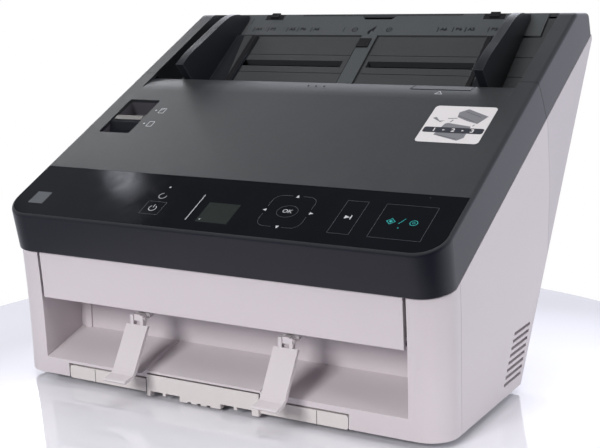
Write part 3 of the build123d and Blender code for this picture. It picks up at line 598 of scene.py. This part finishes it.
hopperGrey = mouldedPlastic("hopperGrey", (0.046, 0.049, 0.051), 0.5, **hopperLook)
extensionGrey = mouldedPlastic("extensionGrey", (0.070, 0.076, 0.080), 0.5, **hopperLook)
# guides: the strong, much paler edge wear paints highlights along their top edges, with some real
# rubbing
guideBlack = mouldedPlastic("guideBlack", (0.012, 0.013, 0.016), 0.36, wear=0.9, paler=6.0)
selectorBlack = mouldedPlastic("selectorBlack", (0.008, 0.009, 0.012), 0.38, wear=0.3, paler=2.2)
wellGrey = mouldedPlastic("wellGrey", (0.085, 0.078, 0.090), 0.5)
rearLight = mouldedPlastic("rearLight", (0.57, 0.525, 0.55), 0.42, **paleLook)
clipBlack = mouldedPlastic("clipBlack", (0.010, 0.010, 0.012), 0.4, paler=2.0)


glossLook = {
    "usual": 0.08,
    "roughness": (0.04, 0.10),
    "smearScale": 40.0,
    "twist": 1.5,
    "smear": (0.3, 0.7),
    "darkest": (0.003, 0.0035, 0.005),
    "palest": (0.005, 0.0055, 0.008),
    "dust": {"Amount": 0.006, "Specks": 0.5, "Spacing": 150.0},
    "dustColour": (0.35, 0.35, 0.36),
}


def makeGlossBlack():
    # smooth black sheet with faint wiping marks and a few specks of dust
    material, tree, shader, place = newMaterial("glossBlack", glossLook["usual"])
    values = {"Scale": glossLook["smearScale"], "Detail": 6.0, "Distortion": glossLook["twist"]}
    smear = addNode(tree, "ShaderNodeTexNoise", [("Vector", place)], **values)
    rough = remap(tree, smear.outputs["Fac"], *glossLook["smear"], *glossLook["roughness"])
    tree.links.new(rough, shader.inputs["Roughness"])
    black = mixColour(tree, smear.outputs["Fac"], glossLook["darkest"], glossLook["palest"])
    dusty = useGroup(tree, dustGroup, place, **glossLook["dust"])
    final = mixColour(tree, dusty.outputs["Dust"], black, glossLook["dustColour"])
    tree.links.new(final, shader.inputs["Base Color"])
    return material


displayLook = {
    "roughness": 0.16,
    "cellScale": 4000.0,
    "cloudScale": 90.0,
    "cells": ((0.015, 0.019, 0.018), (0.020, 0.025, 0.023)),
    "cloud": (0.022, 0.027, 0.025),
}


def makeDisplay():
    # unlit display: a dark green-grey field with fine cells
    material, tree, shader, place = newMaterial("displayGlass", displayLook["roughness"])
    at = [("Vector", place)]
    cells = addNode(tree, "ShaderNodeTexVoronoi", at, Scale=displayLook["cellScale"])
    cloud = addNode(tree, "ShaderNodeTexNoise", at, Scale=displayLook["cloudScale"], Detail=3.0)
    field = mixColour(tree, cells.outputs["Distance"], *displayLook["cells"])
    final = mixColour(tree, cloud.outputs["Fac"], field, displayLook["cloud"])
    tree.links.new(final, shader.inputs["Base Color"])
    return material


scanGlassLook = {
    "roughness": 0.03,
    "clearness": 0.85,
    "ior": 1.5,
    "streakScale": 50.0,
    "tints": ((0.75, 0.85, 0.82), (0.82, 0.9, 0.88)),
}


def makeScanGlass():
    # clear glass with a faint green tint
    values = {"Transmission_Weight": scanGlassLook["clearness"], "IOR": scanGlassLook["ior"]}
    material, tree, shader, place = newMaterial("scanGlass", scanGlassLook["roughness"], **values)
    scale = scanGlassLook["streakScale"]
    streak = addNode(tree, "ShaderNodeTexNoise", [("Vector", place)], Scale=scale, Detail=3.0)
    tint = mixColour(tree, streak.outputs["Fac"], *scanGlassLook["tints"])
    tree.links.new(tint, shader.inputs["Base Color"])
    return material


boardLook = {
    "roughness": 0.3,
    "scale": 160.0,
    "colours": {
        "Color1": (0.01, 0.10, 0.035, 1),
        "Color2": (0.012, 0.12, 0.045, 1),
        "Mortar": (0.02, 0.17, 0.07, 1),
    },
    "strength": 0.3,
    "depth": 0.00005,
}


def makeBoardGreen():
    # green board with paler tracks
    material, tree, shader, place = newMaterial("boardGreen", boardLook["roughness"])
    tracks = addNode(tree, "ShaderNodeTexBrick", [("Vector", place)], Scale=boardLook["scale"])
    for label, colour in boardLook["colours"].items():
        tracks.inputs[label].default_value = colour
    tree.links.new(tracks.outputs["Color"], shader.inputs["Base Color"])
    normal = bumpFrom(tree, tracks.outputs["Fac"], boardLook["strength"], boardLook["depth"])
    tree.links.new(normal, shader.inputs["Normal"])
    return material


finishes["gloss_black"] = makeGlossBlack()
finishes["display"] = makeDisplay()
finishes["scan_glass"] = makeScanGlass()
finishes["board_green"] = makeBoardGreen()
inkWhite = printedInk("inkWhite", (0.55, 0.56, 0.58))
inkDim = printedInk("inkDim", (0.060, 0.068, 0.078))
# grey of the tray's seam lines, also painted shade in the gap beside its middle piece
seamAndGapShadeGrey = printedInk("seamAndGapShadeGrey", (0.13, 0.12, 0.12), 0.6)
# grey of the selector's cap: a painted highlight
highlightCapGrey = printedInk("highlightCapGrey", (0.17, 0.16, 0.152), 0.5)
inkTeal = printedInk("inkTeal", (0.02, 0.34, 0.33))
inkBlack = printedInk("inkBlack", (0.012, 0.013, 0.015), 0.5)
stickerWhite = printedInk("stickerWhite", (0.72, 0.69, 0.70), 0.4)
stickerDark = printedInk("stickerDark", (0.030, 0.032, 0.042), 0.4)
stickerMid = printedInk("stickerMid", (0.20, 0.20, 0.22), 0.4)

for entry in frame["record"]["subparts"]:
    for slot in nodes[entry["node"]].material_slots:
        slot.material = finishes[entry["material_slot"]]
for name, finish in (
    ("hopper_plate", hopperGrey),
    ("hopper_extension", extensionGrey),
    ("left_document_guide", guideBlack),
    ("right_document_guide", guideBlack),
    ("feed_selector", selectorBlack),
    ("selector_well", wellGrey),
    ("rear_cover", rearLight),
    ("extension_clips", clipBlack),
    ("extension_latch", clipBlack),
):
    for slot in nodes[name].material_slots:
        slot.material = finish
print("finishes assigned")


# Marks printed on the gloss control sheet, in millimetres across and up the slope
panelPrint = {
    "lift": 0.02,
    "line": 0.26,
    "keys": ((-48.5, -35, 12, 24.6), (79.4, 92.8, 11, 41), (103.7, 134.8, 10.8, 40.8)),
    "keyCorner": 0.5,
    "nav": (32.8, 61.3, 11.5, 41),
    "navCorner": 6.0,
    "navGap": 3.4,
    "navMiddle": (47.3, 26.2),
    "arrow": 1.5,
    "arrows": ((47.3, 40.4, 0), (32.6, 26.1, 90), (62.5, 26.2, -90), (47.8, 11.9, 180)),
    "ok": (6.7, 5.55),
    "okWord": (47.3, 26.3),
    "okLetters": 4.4,
    "bar": (-13.4, 22.5, 25),
    "barLine": 0.5,
    "patch": (-136, -124.5, 12, 24),
    "lamps": ((-41.9, 39.4, 0.7, 0.0, 20), (-4.4, 12.0, 0.45, 0.03, 16)),
    "slash": (118.4, 26.6, 5.6, 0.42, 62),
    "dot": (118.2, 20.6, 0.4),
}

# Power sign: middle, radius, line, height and half width of its opening, and its stem
# Ring sign: the same, with the height and the left end of its opening
# Skip sign: arrowhead and upright stroke
powerSign = {
    "x": -41.9,
    "y": 18.0,
    "radius": 2.7,
    "line": 0.42,
    "open": (19.9, 1.3),
    "stem": (20.2, 3.0),
}
ringSign = {"x": -42, "y": 30.5, "radius": 2.8, "line": 0.36, "open": (30.9, -42.6)}
skipSign = {"arrow": (85.0, 26, 2.0), "stem": (87.7, 26, 3.6, 0.7)}

# Start key's two signs: middle, radius, line, and size of the mark inside
diamondSign = {"x": 112, "y": 25.8, "radius": 2.8, "line": 0.45, "inner": 1.2}
circleSign = {"x": 125.4, "y": 25.9, "radius": 2.4, "line": 0.45, "inner": 0.9, "innerLine": 0.3}


# How a small arrowhead is pulled across and along, to be sharper than an even triangle
pointerPull = (0.85, 1.1, 1)


def pointer(x, y, z, size, turn):
    # small solid arrowhead, pulled sharper in edit mode
    piece = polygon(0, 0, 0, size * mm, 3)
    bpy.ops.object.mode_set(mode="EDIT")
    bpy.ops.mesh.select_all(action="SELECT")
    bpy.ops.transform.resize(value=pointerPull)
    bpy.ops.object.mode_set(mode="OBJECT")
    piece.rotation_euler = (0, 0, radians(turn))
    piece.location = (x * mm, y * mm, z)
    bpy.ops.object.transform_apply(location=True, rotation=True, scale=True)
    return piece


def cutLine(piece, x, y, alongX):
    # adds an edge across a printed line
    bpy.ops.object.mode_set(mode="EDIT")
    bpy.ops.mesh.select_all(action="SELECT")
    way = (1, 0, 0) if alongX else (0, 1, 0)
    bpy.ops.mesh.bisect(plane_co=(x, y, 0), plane_no=way)
    bpy.ops.object.mode_set(mode="OBJECT")
    return piece


def makeNavigation(z):
    # rounded frame round the four arrows, open beside each of them
    line = panelPrint["line"] * mm
    gap = panelPrint["navGap"] * mm
    x, y = inMetres(panelPrint["navMiddle"])
    frameLine = outline(*inMetres(panelPrint["nav"]), z, panelPrint["navCorner"] * mm, line)
    for step in (-gap, gap):
        cutLine(frameLine, x + step, y, True)
        cutLine(frameLine, x, y + step, False)
    dropPart(frameLine, lambda c: abs(c.x - x) < gap or abs(c.y - y) < gap)
    wide, high = panelPrint["ok"]
    button = polygon(x, y, z, high * mm, 48, 0, line, wide / high)
    return [frameLine, button]


def makeSigns(z):
    # power sign, ring sign and skip sign, beside their keys
    x, y, radius, line = inMetres(powerSign[key] for key in ("x", "y", "radius", "line"))
    over, half = inMetres(powerSign["open"])
    power = polygon(x, y, z, radius, 40, 0, line)
    dropPart(power, lambda c: c.y > over and abs(c.x - x) < half)
    middle, length = inMetres(powerSign["stem"])
    stem = bar(x, middle, z, length, line, pi / 2)

    x, y, radius, line = inMetres(ringSign[key] for key in ("x", "y", "radius", "line"))
    above, beside = inMetres(ringSign["open"])
    ring = polygon(x, y, z, radius, 40, 0, line)
    dropPart(ring, lambda c: c.y > above and c.x > beside)

    x, y, size = skipSign["arrow"]
    arrow = pointer(x, y, z, size, -90)
    x, y, length, line = inMetres(skipSign["stem"])
    return [power, stem, ring, arrow, bar(x, y, z, length, line, pi / 2)]


def makeStartSigns(z):
    # diamond, circle and slash of the start key
    x, y, radius, line = inMetres(diamondSign[key] for key in ("x", "y", "radius", "line"))
    made = [polygon(x, y, z, radius, 4, 0, line), polygon(x, y, z, diamondSign["inner"] * mm, 4)]
    x, y, radius, line = inMetres(circleSign[key] for key in ("x", "y", "radius", "line"))
    inner, innerLine = inMetres((circleSign["inner"], circleSign["innerLine"]))
    made.append(polygon(x, y, z, radius, 32, 0, line))
    made.append(polygon(x, y, z, inner, 20, 0, innerLine))
    *place, turn = panelPrint["slash"]
    x, y, length, line = inMetres(place)
    made.append(bar(x, y, z, length, line, radians(turn)))
    x, y, radius = inMetres(panelPrint["dot"])
    made.append(polygon(x, y, z, radius, 16))
    return made


def makePanelMarks():
    z = panelPrint["lift"] * mm
    line = panelPrint["line"] * mm
    corner = panelPrint["keyCorner"] * mm
    dim = [outline(*inMetres(key), z, corner, line) for key in panelPrint["keys"]]
    dim += makeNavigation(z)
    dim.append(plate(*inMetres(panelPrint["patch"]), z, corner))
    outlines = settle(joinPieces(dim, "panel_outlines"), lidBase)
    finishPiece(outlines, "front_door", inkDim)

    size = panelPrint["arrow"]
    made = [pointer(x, y, z, size, turn) for x, y, turn in panelPrint["arrows"]]
    made.append(word("OK", *inMetres(panelPrint["okWord"]), z, panelPrint["okLetters"] * mm))
    made += makeSigns(z)
    x, y, length = inMetres(panelPrint["bar"])
    made.append(bar(x, y, z, length, panelPrint["barLine"] * mm, pi / 2))
    for x, y, radius, lift, sides in panelPrint["lamps"]:
        made.append(polygon(x * mm, y * mm, z + lift * mm, radius * mm, sides))
    marks = settle(joinPieces(made, "panel_marks"), lidBase)
    finishPiece(marks, "front_door", inkWhite)

    start = makeStartSigns(z)
    startMarks = settle(joinPieces(start, "start_marks"), lidBase)
    finishPiece(startMarks, "front_door", inkTeal)


makePanelMarks()
print("panel marks printed")


# Marks on the grained part of the lid, in millimetres across and up the slope
lidPrint = {
    "lift": 0.03,
    "dots": ((-106.3, 123.6), (-105.9, 107.0)),
    "dotSize": 0.75,
    "page": (4.6, 6.2),
    "pageStep": (3.1, -0.2),
    "corner": 0.5,
    "fold": (0.3, 0.2, 0.8, 38),
    "line": 0.5,
    "triangle": (90.6, 156.9),
    "triangleSize": (2.6, 1.2),
    "dimples": (-5.0, 0.8, 7.0),
    "dimplePlace": 161.6,
    "dimpleSize": (0.8, 0.25),
    "dimpleDeep": (0.3, 0.2),
}


def makePage(x, y, z, folded):
    # outline of a sheet, with a corner turned in where it is folded
    wide, high = inMetres(lidPrint["page"])
    line = lidPrint["line"] * mm
    sheet = outline(x, x + wide, y - high / 2, y + high / 2, z, lidPrint["corner"] * mm, line)
    if not folded:
        return [sheet]
    right, up, long, turn = lidPrint["fold"]
    fold = bar(x + wide * right, y + high * up, z, wide * long, line, radians(turn))
    return [sheet, fold]


def makeLidMarks():
    z = lidPrint["lift"] * mm
    stepX, stepY = lidPrint["pageStep"]
    made = []
    for index, (x, y) in enumerate(lidPrint["dots"]):
        made.append(polygon(x * mm, y * mm, z, lidPrint["dotSize"] * mm, 20))
        made += makePage((x + stepX) * mm, (y + stepY) * mm, z, index == 0)
    x, y = inMetres(lidPrint["triangle"])
    radius, stretch = lidPrint["triangleSize"]
    made.append(polygon(x, y, z, radius * mm, 3, 0, lidPrint["line"] * mm, stretch))
    marks = settle(joinPieces(made, "lid_marks"), lidBase)
    finishPiece(marks, "front_door", inkWhite)


def makeDimples():
    # three small round recesses, each a shallow ring with a sunk middle
    radius, rim = inMetres(lidPrint["dimpleSize"])
    sunk, deeper = inMetres(lidPrint["dimpleDeep"])
    first = polygon(0, 0, 0, radius, 20)
    bpy.ops.object.mode_set(mode="EDIT")
    bpy.ops.mesh.select_all(action="SELECT")
    bpy.ops.mesh.inset(thickness=rim)
    bpy.ops.transform.translate(value=(0, 0, -deeper))
    bpy.ops.object.mode_set(mode="OBJECT")
    made = [first]
    for step in range(2):
        twin = first.copy()
        twin.data = first.data.copy()
        bpy.context.scene.collection.objects.link(twin)
        made.append(twin)
    for dimple, x in zip(made, lidPrint["dimples"]):
        dimple.location = (x * mm, lidPrint["dimplePlace"] * mm, -sunk)
    dots = joinPieces(made, "lid_dimples")
    finishPiece(settle(dots, lidBase), "front_door", inkBlack)


makeLidMarks()
makeDimples()
print("lid marks printed")


# Pale cap behind the selector's crest, its grey a painted highlight where the lever's rear shoulder
# catches light: its edges across and along the slope, and its height
selectorHighlightCap = {"edge": (-134.8, -112.3, 111.7, 116.5), "corner": 0.9, "low": -0.78, "thick": 0.48}


def makeHighlightCap():
    low = selectorHighlightCap["low"] * mm
    cap = plate(*inMetres(selectorHighlightCap["edge"]), low, selectorHighlightCap["corner"] * mm)
    cap = settle(joinPieces([thicken(cap, selectorHighlightCap["thick"] * mm)], "selector_highlight_cap"), lidBase)
    finishPiece(cap, "selector", highlightCapGrey)


makeHighlightCap()
print("selector cap set")


# Sticker with a generic picture: one block lifted off another, and step numbers. Millimetres on
# the lid's slope; the picture lifts off the sheet, the bar and the numbers off the picture
sticker = {
    "edge": (94.9, 134.8, 102.7, 142.3),
    "corner": 2.6,
    "thick": 0.12,
    "lift": 0.01,
    "bar": (96.0, 134.0, 112.9, 118.7),
    "lifted": (
        (112.1, 135.6),
        (117.1, 139.4),
        (131.8, 132.1),
        (127.5, 123.7),
        (120.0, 126.4),
        (112.7, 130.3),
    ),
    "lower": (
        (104.4, 110.5),
        (107.4, 122.6),
        (109.0, 123.6),
        (124.6, 120.6),
        (124.3, 108.4),
        (120.9, 105.2),
    ),
    "hand": ((97.4, 128.4), (99.6, 129.6), (102.8, 125.6), (106.2, 126.0), (103.6, 124.2)),
    "strokes": (
        (113.4, 131.6, 124.4, 126.0),
        (116.2, 136.6, 127.6, 131.0),
        (106.6, 110.4, 119.8, 107.0),
    ),
    "bars": ((110.3, 128.7, 5.8, 6), (110.7, 125.7, 3.0, 65), (125.8, 121.8, 1.8, 65)),
    "barLine": 0.7,
    "strokeLine": 0.3,
    "steps": (("1", 103), ("2", 115), ("3", 127)),
    "stepPlace": 115.8,
    "letters": 5.0,
    "bold": 0.02,
    "pointers": (109, 121),
    "pointerSize": 1.0,
    "barCorner": 1.4,
    "pictureLift": 0.03,
    "barLift": 0.02,
    "numberLift": 0.05,
}


# Rounding of a printed shape's corners, in millimetres
shapeCorner = 0.3


def shape(points, z):
    # flat printed shape: a polygon whose corners are moved to their places
    piece = polygon(0, 0, z, 1 * mm, len(points))
    for corner, (x, y) in zip(piece.data.vertices, points):
        corner.co = (x * mm, y * mm, z)
    bpy.ops.object.mode_set(mode="EDIT")
    bpy.ops.mesh.select_all(action="SELECT")
    bpy.ops.mesh.bevel(offset=shapeCorner * mm, segments=2, affect="VERTICES")
    bpy.ops.mesh.normals_make_consistent(inside=False)
    bpy.ops.object.mode_set(mode="OBJECT")
    if piece.data.polygons[0].normal.z < 0:
        piece.data.flip_normals()
    return piece


def makeSticker():
    thick = sticker["thick"] * mm
    low = sticker["lift"] * mm
    sheet = plate(*inMetres(sticker["edge"]), low, sticker["corner"] * mm, 6)
    sheet = joinPieces([thicken(sheet, thick)], "sticker")
    finishPiece(settle(sheet, lidBase), "front_door", stickerWhite)

    z = thick + sticker["pictureLift"] * mm
    blocks = [shape(sticker["lifted"], z), shape(sticker["lower"], z)]
    for x, y, length, turn in sticker["bars"]:
        size = inMetres((length, sticker["barLine"]))
        blocks.append(bar(x * mm, y * mm, z, *size, radians(turn)))
    blocks.append(shape(sticker["hand"], z))
    picture = settle(joinPieces(blocks, "sticker_picture"), lidBase)
    finishPiece(picture, "front_door", stickerMid)

    above = z + sticker["barLift"] * mm
    dark = [plate(*inMetres(sticker["bar"]), above, sticker["barCorner"] * mm)]
    for x0, y0, x1, y1 in sticker["strokes"]:
        way = Vector((x1 - x0, y1 - y0))
        turn = way.angle_signed(Vector((1, 0)))
        middle = inMetres(((x0 + x1) / 2, (y0 + y1) / 2))
        dark.append(bar(*middle, above, way.length * mm, sticker["strokeLine"] * mm, turn))
    bars = settle(joinPieces(dark, "sticker_bar"), lidBase)
    finishPiece(bars, "front_door", stickerDark)

    above = z + sticker["numberLift"] * mm
    y = sticker["stepPlace"]
    letters = (sticker["letters"] * mm, sticker["bold"])
    steps = [word(text, x * mm, y * mm, above, *letters) for text, x in sticker["steps"]]
    steps += [pointer(x, y, above, sticker["pointerSize"], -90) for x in sticker["pointers"]]
    numbers = settle(joinPieces(steps, "sticker_numbers"), lidBase)
    finishPiece(numbers, "front_door", stickerWhite)


makeSticker()
print("sticker placed")

# Paper size marks on the hopper's pull-out plate, in millimetres on the hopper's slope
hopperPrint = {
    "lift": -0.07,
    "sizes": (("A4", -101.4), ("B5", -88.6), ("A5", -71.7), ("B6", -62.4), ("A6", -51.0)),
    "tick": (-10.4, -15.6),
    "line": 0.7,
    "letters": 4.3,
    "bold": 0.05,
    "letterStep": 4.3,
    "row": -12.6,
    "ends": (107.0, -3.0, 7.0),
    "short": (-23.5, -13.0, 5.0),
    "pair": (-14.4, 13.3),
    "ring": (-13.1, 2.5, 2.6, 30),
    "arrow": (
        (-3.4, -15.0),
        (2.0, -8.4),
        (1.2, -15.4),
        (-0.6, -14.0),
        (-1.2, -18.4),
        (-2.4, -18.0),
    ),
}


def makeHopperMarks():
    z = hopperPrint["lift"] * mm
    line = hopperPrint["line"] * mm
    top, low = hopperPrint["tick"]
    letterSize = (hopperPrint["letters"] * mm, hopperPrint["bold"])
    made = []
    for side in (1, -1):
        for letters, x in hopperPrint["sizes"]:
            made.append(bar(side * x * mm, (top + low) / 2 * mm, z, (top - low) * mm, line, pi / 2))
            across = side * x + hopperPrint["letterStep"]
            place = inMetres((across, hopperPrint["row"], hopperPrint["lift"]))
            made.append(word(letters, *place, *letterSize))
        x, y, length = inMetres(hopperPrint["ends"])
        made.append(bar(side * x, y, z, length, line, pi / 2))
    x, y, length = inMetres(hopperPrint["short"])
    made.append(bar(x, y, z, length, line, pi / 2))
    y, radius, length, turn = hopperPrint["ring"]
    for x in hopperPrint["pair"]:
        made.append(polygon(x * mm, y * mm, z, radius * mm, 28, 0, line))
        made.append(bar(x * mm, y * mm, z, length * mm, line, radians(turn)))
    made.append(shape(hopperPrint["arrow"], z))
    marks = settle(joinPieces(made, "hopper_marks"), hopperBase)
    finishPiece(marks, "extension", inkBlack)


makeHopperMarks()
print("hopper marks set")


# Raised rim on the foot of each guide, and a pale wedge on it that is painted light, where light
# falls on the foot, in millimetres on the hopper's slope
guideTrim = {
    "foot": 2.6,
    "rim": (91.7, 95.6, -91.2, -23.8),
    "rimHigh": 1.3,
    "rimCorner": 0.9,
    "rimRound": 0.35,
    "paintedLightWedge": ((103.3, -24.2), (95.8, -24.2), (95.8, -72.0)),
    "paintedLightWedgeHigh": 0.3,
}


def makeGuideTrim(side, body):
    foot = guideTrim["foot"] * mm
    x0, x1, y0, y1 = inMetres(guideTrim["rim"])
    low, high = sorted((side * x0, side * x1))
    rim = plate(low, high, y0, y1, foot, guideTrim["rimCorner"] * mm)
    rim = thicken(rim, guideTrim["rimHigh"] * mm)
    applyModifier(rim, "BEVEL", width=guideTrim["rimRound"] * mm, segments=2, limit_method="ANGLE")
    rim = settle(joinPieces([rim], body + "_rim"), hopperBase)
    finishPiece(rim, body, clipBlack)
    # the pale wedge is painted light on the black foot
    points = [(side * x, y) for x, y in guideTrim["paintedLightWedge"]]
    paintedLightWedge = thicken(shape(points, foot), guideTrim["paintedLightWedgeHigh"] * mm)
    paintedLightWedge = settle(joinPieces([paintedLightWedge], body + "_ramp"), hopperBase)
    finishPiece(paintedLightWedge, body, hopperGrey)


makeGuideTrim(-1, "left_guide")
makeGuideTrim(1, "right_guide")
print("guide trim set")

# Seam lines in the tray's front, and a dark strip painted as the shade in the gap beside its middle
# piece, in millimetres
trayMarks = {
    "left": (-89.2, -88.8),
    "right": (70.8, 71.2),
    "gap": (-49.1, -47.9),
    "height": (3.0, 12.1),
    "front": 14.17,
    "slope": 0.035,
    "corner": 0.1,
}


def frontMark(x0, x1):
    # upright strip that lies on the tray's front face
    piece = polygon(0, 0, 0, 1 * mm, 4)
    low, high = trayMarks["height"]
    for corner, (x, z) in zip(piece.data.vertices, ((x0, low), (x1, low), (x1, high), (x0, high))):
        depth = trayMarks["front"] - trayMarks["slope"] * (z - low)
        corner.co = (x * mm, frontY + depth * mm, z * mm)
    bpy.ops.object.mode_set(mode="EDIT")
    bpy.ops.mesh.select_all(action="SELECT")
    bpy.ops.mesh.bevel(offset=trayMarks["corner"] * mm, segments=1, affect="VERTICES")
    bpy.ops.object.mode_set(mode="OBJECT")
    if piece.data.polygons[0].normal.y > 0:
        piece.data.flip_normals()
    return piece


def makeTrayMarks():
    # the strip at the gap is painted shade; the other two are seam lines
    strips = [frontMark(*trayMarks[place]) for place in ("left", "right", "gap")]
    marks = settle(joinPieces(strips, "tray_seams_and_gap_shade"), Matrix.Identity(4))
    finishPiece(marks, "tray", seamAndGapShadeGrey)


makeTrayMarks()
print("tray seams drawn")


# Round turntable, with white behind it
floorLook = {
    "radius": 0.297,
    "thick": 0.02,
    "edge": 0.004,
    "colour": (0.83, 0.82, 0.87),
    "cooler": 0.96,
    "roughness": 0.05,
    "ior": 1.7,
}


def makeFloor():
    deselectAll()
    thick = floorLook["thick"]
    size = {"vertices": 160, "radius": floorLook["radius"], "depth": thick}
    bpy.ops.mesh.primitive_cylinder_add(**size, location=(0, 0, -thick / 2))
    floor = bpy.context.active_object
    floor.name = "floor"
    floor.data.name = "floor"
    applyModifier(floor, "BEVEL", width=floorLook["edge"], segments=4, limit_method="ANGLE")
    bpy.ops.object.transform_apply(location=True, rotation=True, scale=True)
    bpy.ops.object.shade_smooth_by_angle(angle=radians(30))
    roughness, ior = floorLook["roughness"], floorLook["ior"]
    material, tree, shader, place = newMaterial("tableTop", roughness, IOR=ior)
    cloud = addNode(tree, "ShaderNodeTexNoise", [("Vector", place)], Scale=12.0, Detail=4.0)
    pale = floorLook["colour"]
    cooler = tuple(c * floorLook["cooler"] for c in pale)
    tree.links.new(mixColour(tree, cloud.outputs["Fac"], pale, cooler), shader.inputs["Base Color"])
    floor.data.materials.append(material)


makeFloor()

# The world: white for the camera, pale low behind the machine, dim overhead and towards the front
# behind, ahead and sides: the heights or sideways places between which the level changes
# rear: from front to back, where the level behind takes over
# glows: small soft lights seen in the gloss sheet, and two wide ones for the lid's rear roll,
# each a direction, the cosines where it starts and is full, and its level
worldLook = {
    "horizon": 0.93,
    "overhead": 0.07,
    "frontLeft": 0.5,
    "frontRight": 0.08,
    "behind": (0.45, 0.68),
    "ahead": (0.05, 0.5),
    "sides": (-0.6, 0.6),
    "rear": (-0.35, 0.4),
    "tint": (0.88, 0.90, 1.0),
    "glows": (
        ((-0.645, 0.300, 0.703), 0.9976, 0.9992, 0.15),
        ((-0.6135, 0.3245, 0.7202), 0.99982, 0.99999, 2.4),
        ((-0.52, 0.73, 0.44), 0.955, 0.985, 1.5),
        ((-0.25, 0.87, 0.40), 0.955, 0.985, 1.2),
    ),
}


def makeWorld():
    world = bpy.data.worlds.new("studio")
    bpy.context.scene.world = world
    world.use_nodes = True
    tree = world.node_tree
    tree.nodes.clear()
    path = tree.nodes.new("ShaderNodeLightPath")
    way = addNode(tree, "ShaderNodeTexCoord").outputs["Generated"]
    parts = addNode(tree, "ShaderNodeSeparateXYZ", [("Vector", way)])
    bright, dim = worldLook["horizon"], worldLook["overhead"]
    left, right = worldLook["frontLeft"], worldLook["frontRight"]
    behind = remap(tree, parts.outputs["Z"], *worldLook["behind"], bright, dim)
    ahead = remap(tree, parts.outputs["Z"], *worldLook["ahead"], bright, dim)
    sideways = remap(tree, parts.outputs["X"], *worldLook["sides"], left, right)
    ahead = calculate(tree, "MULTIPLY", ahead, sideways)
    rear = remap(tree, parts.outputs["Y"], *worldLook["rear"])
    behind = calculate(tree, "MULTIPLY", behind, rear)
    ahead = calculate(tree, "MULTIPLY", ahead, calculate(tree, "SUBTRACT", 1.0, rear))
    level = calculate(tree, "ADD", behind, ahead)
    for direction, start, full, strength in worldLook["glows"]:
        towards = addNode(tree, "ShaderNodeVectorMath", [(0, way)], operation="DOT_PRODUCT")
        towards.inputs[1].default_value = Vector(direction).normalized()
        glow = remap(tree, towards.outputs["Value"], start, full, 0.0, strength)
        level = calculate(tree, "ADD", level, glow)
    plain = tree.nodes.new("ShaderNodeBackground")
    plain.inputs["Color"].default_value = (*worldLook["tint"], 1)
    tree.links.new(level, plain.inputs["Strength"])
    white = tree.nodes.new("ShaderNodeBackground")
    white.inputs["Color"].default_value = (1, 1, 1, 1)
    mix = tree.nodes.new("ShaderNodeMixShader")
    out = tree.nodes.new("ShaderNodeOutputWorld")
    tree.links.new(path.outputs["Is Camera Ray"], mix.inputs[0])
    tree.links.new(plain.outputs[0], mix.inputs[1])
    tree.links.new(white.outputs[0], mix.inputs[2])
    tree.links.new(mix.outputs[0], out.inputs[0])


makeWorld()

# Lamps: where they stand, what they aim at, their width, their power, and whether sheen shows them
lamps = {
    "key": ((-0.14, -1.42, 0.68), (0, -0.05, 0.06), 0.45, 15, False),
    "fill": ((1.6, -0.12, 0.6), (0, 0, 0.08), 1.0, 10.4, False),
    "top": ((0.3, -0.2, 1.7), (0, 0, 0.1), 1.4, 14, False),
    "rear": ((-1.5, 1.1, 0.93), (0, 0.02, 0.17), 0.6, 9, True),
}


def makeLamps():
    for name, (place, aim, wide, power, inSheen) in lamps.items():
        data = bpy.data.lights.new(name, "AREA")
        data.size = wide
        data.energy = power
        lamp = bpy.data.objects.new(name, data)
        bpy.context.scene.collection.objects.link(lamp)
        lamp.location = place
        lamp.rotation_euler = (Vector(aim) - Vector(place)).to_track_quat("-Z", "Y").to_euler()
        lamp.visible_glossy = inSheen


makeLamps()
bpy.context.scene.view_settings.view_transform = "Standard"
print("stage and lamps ready")
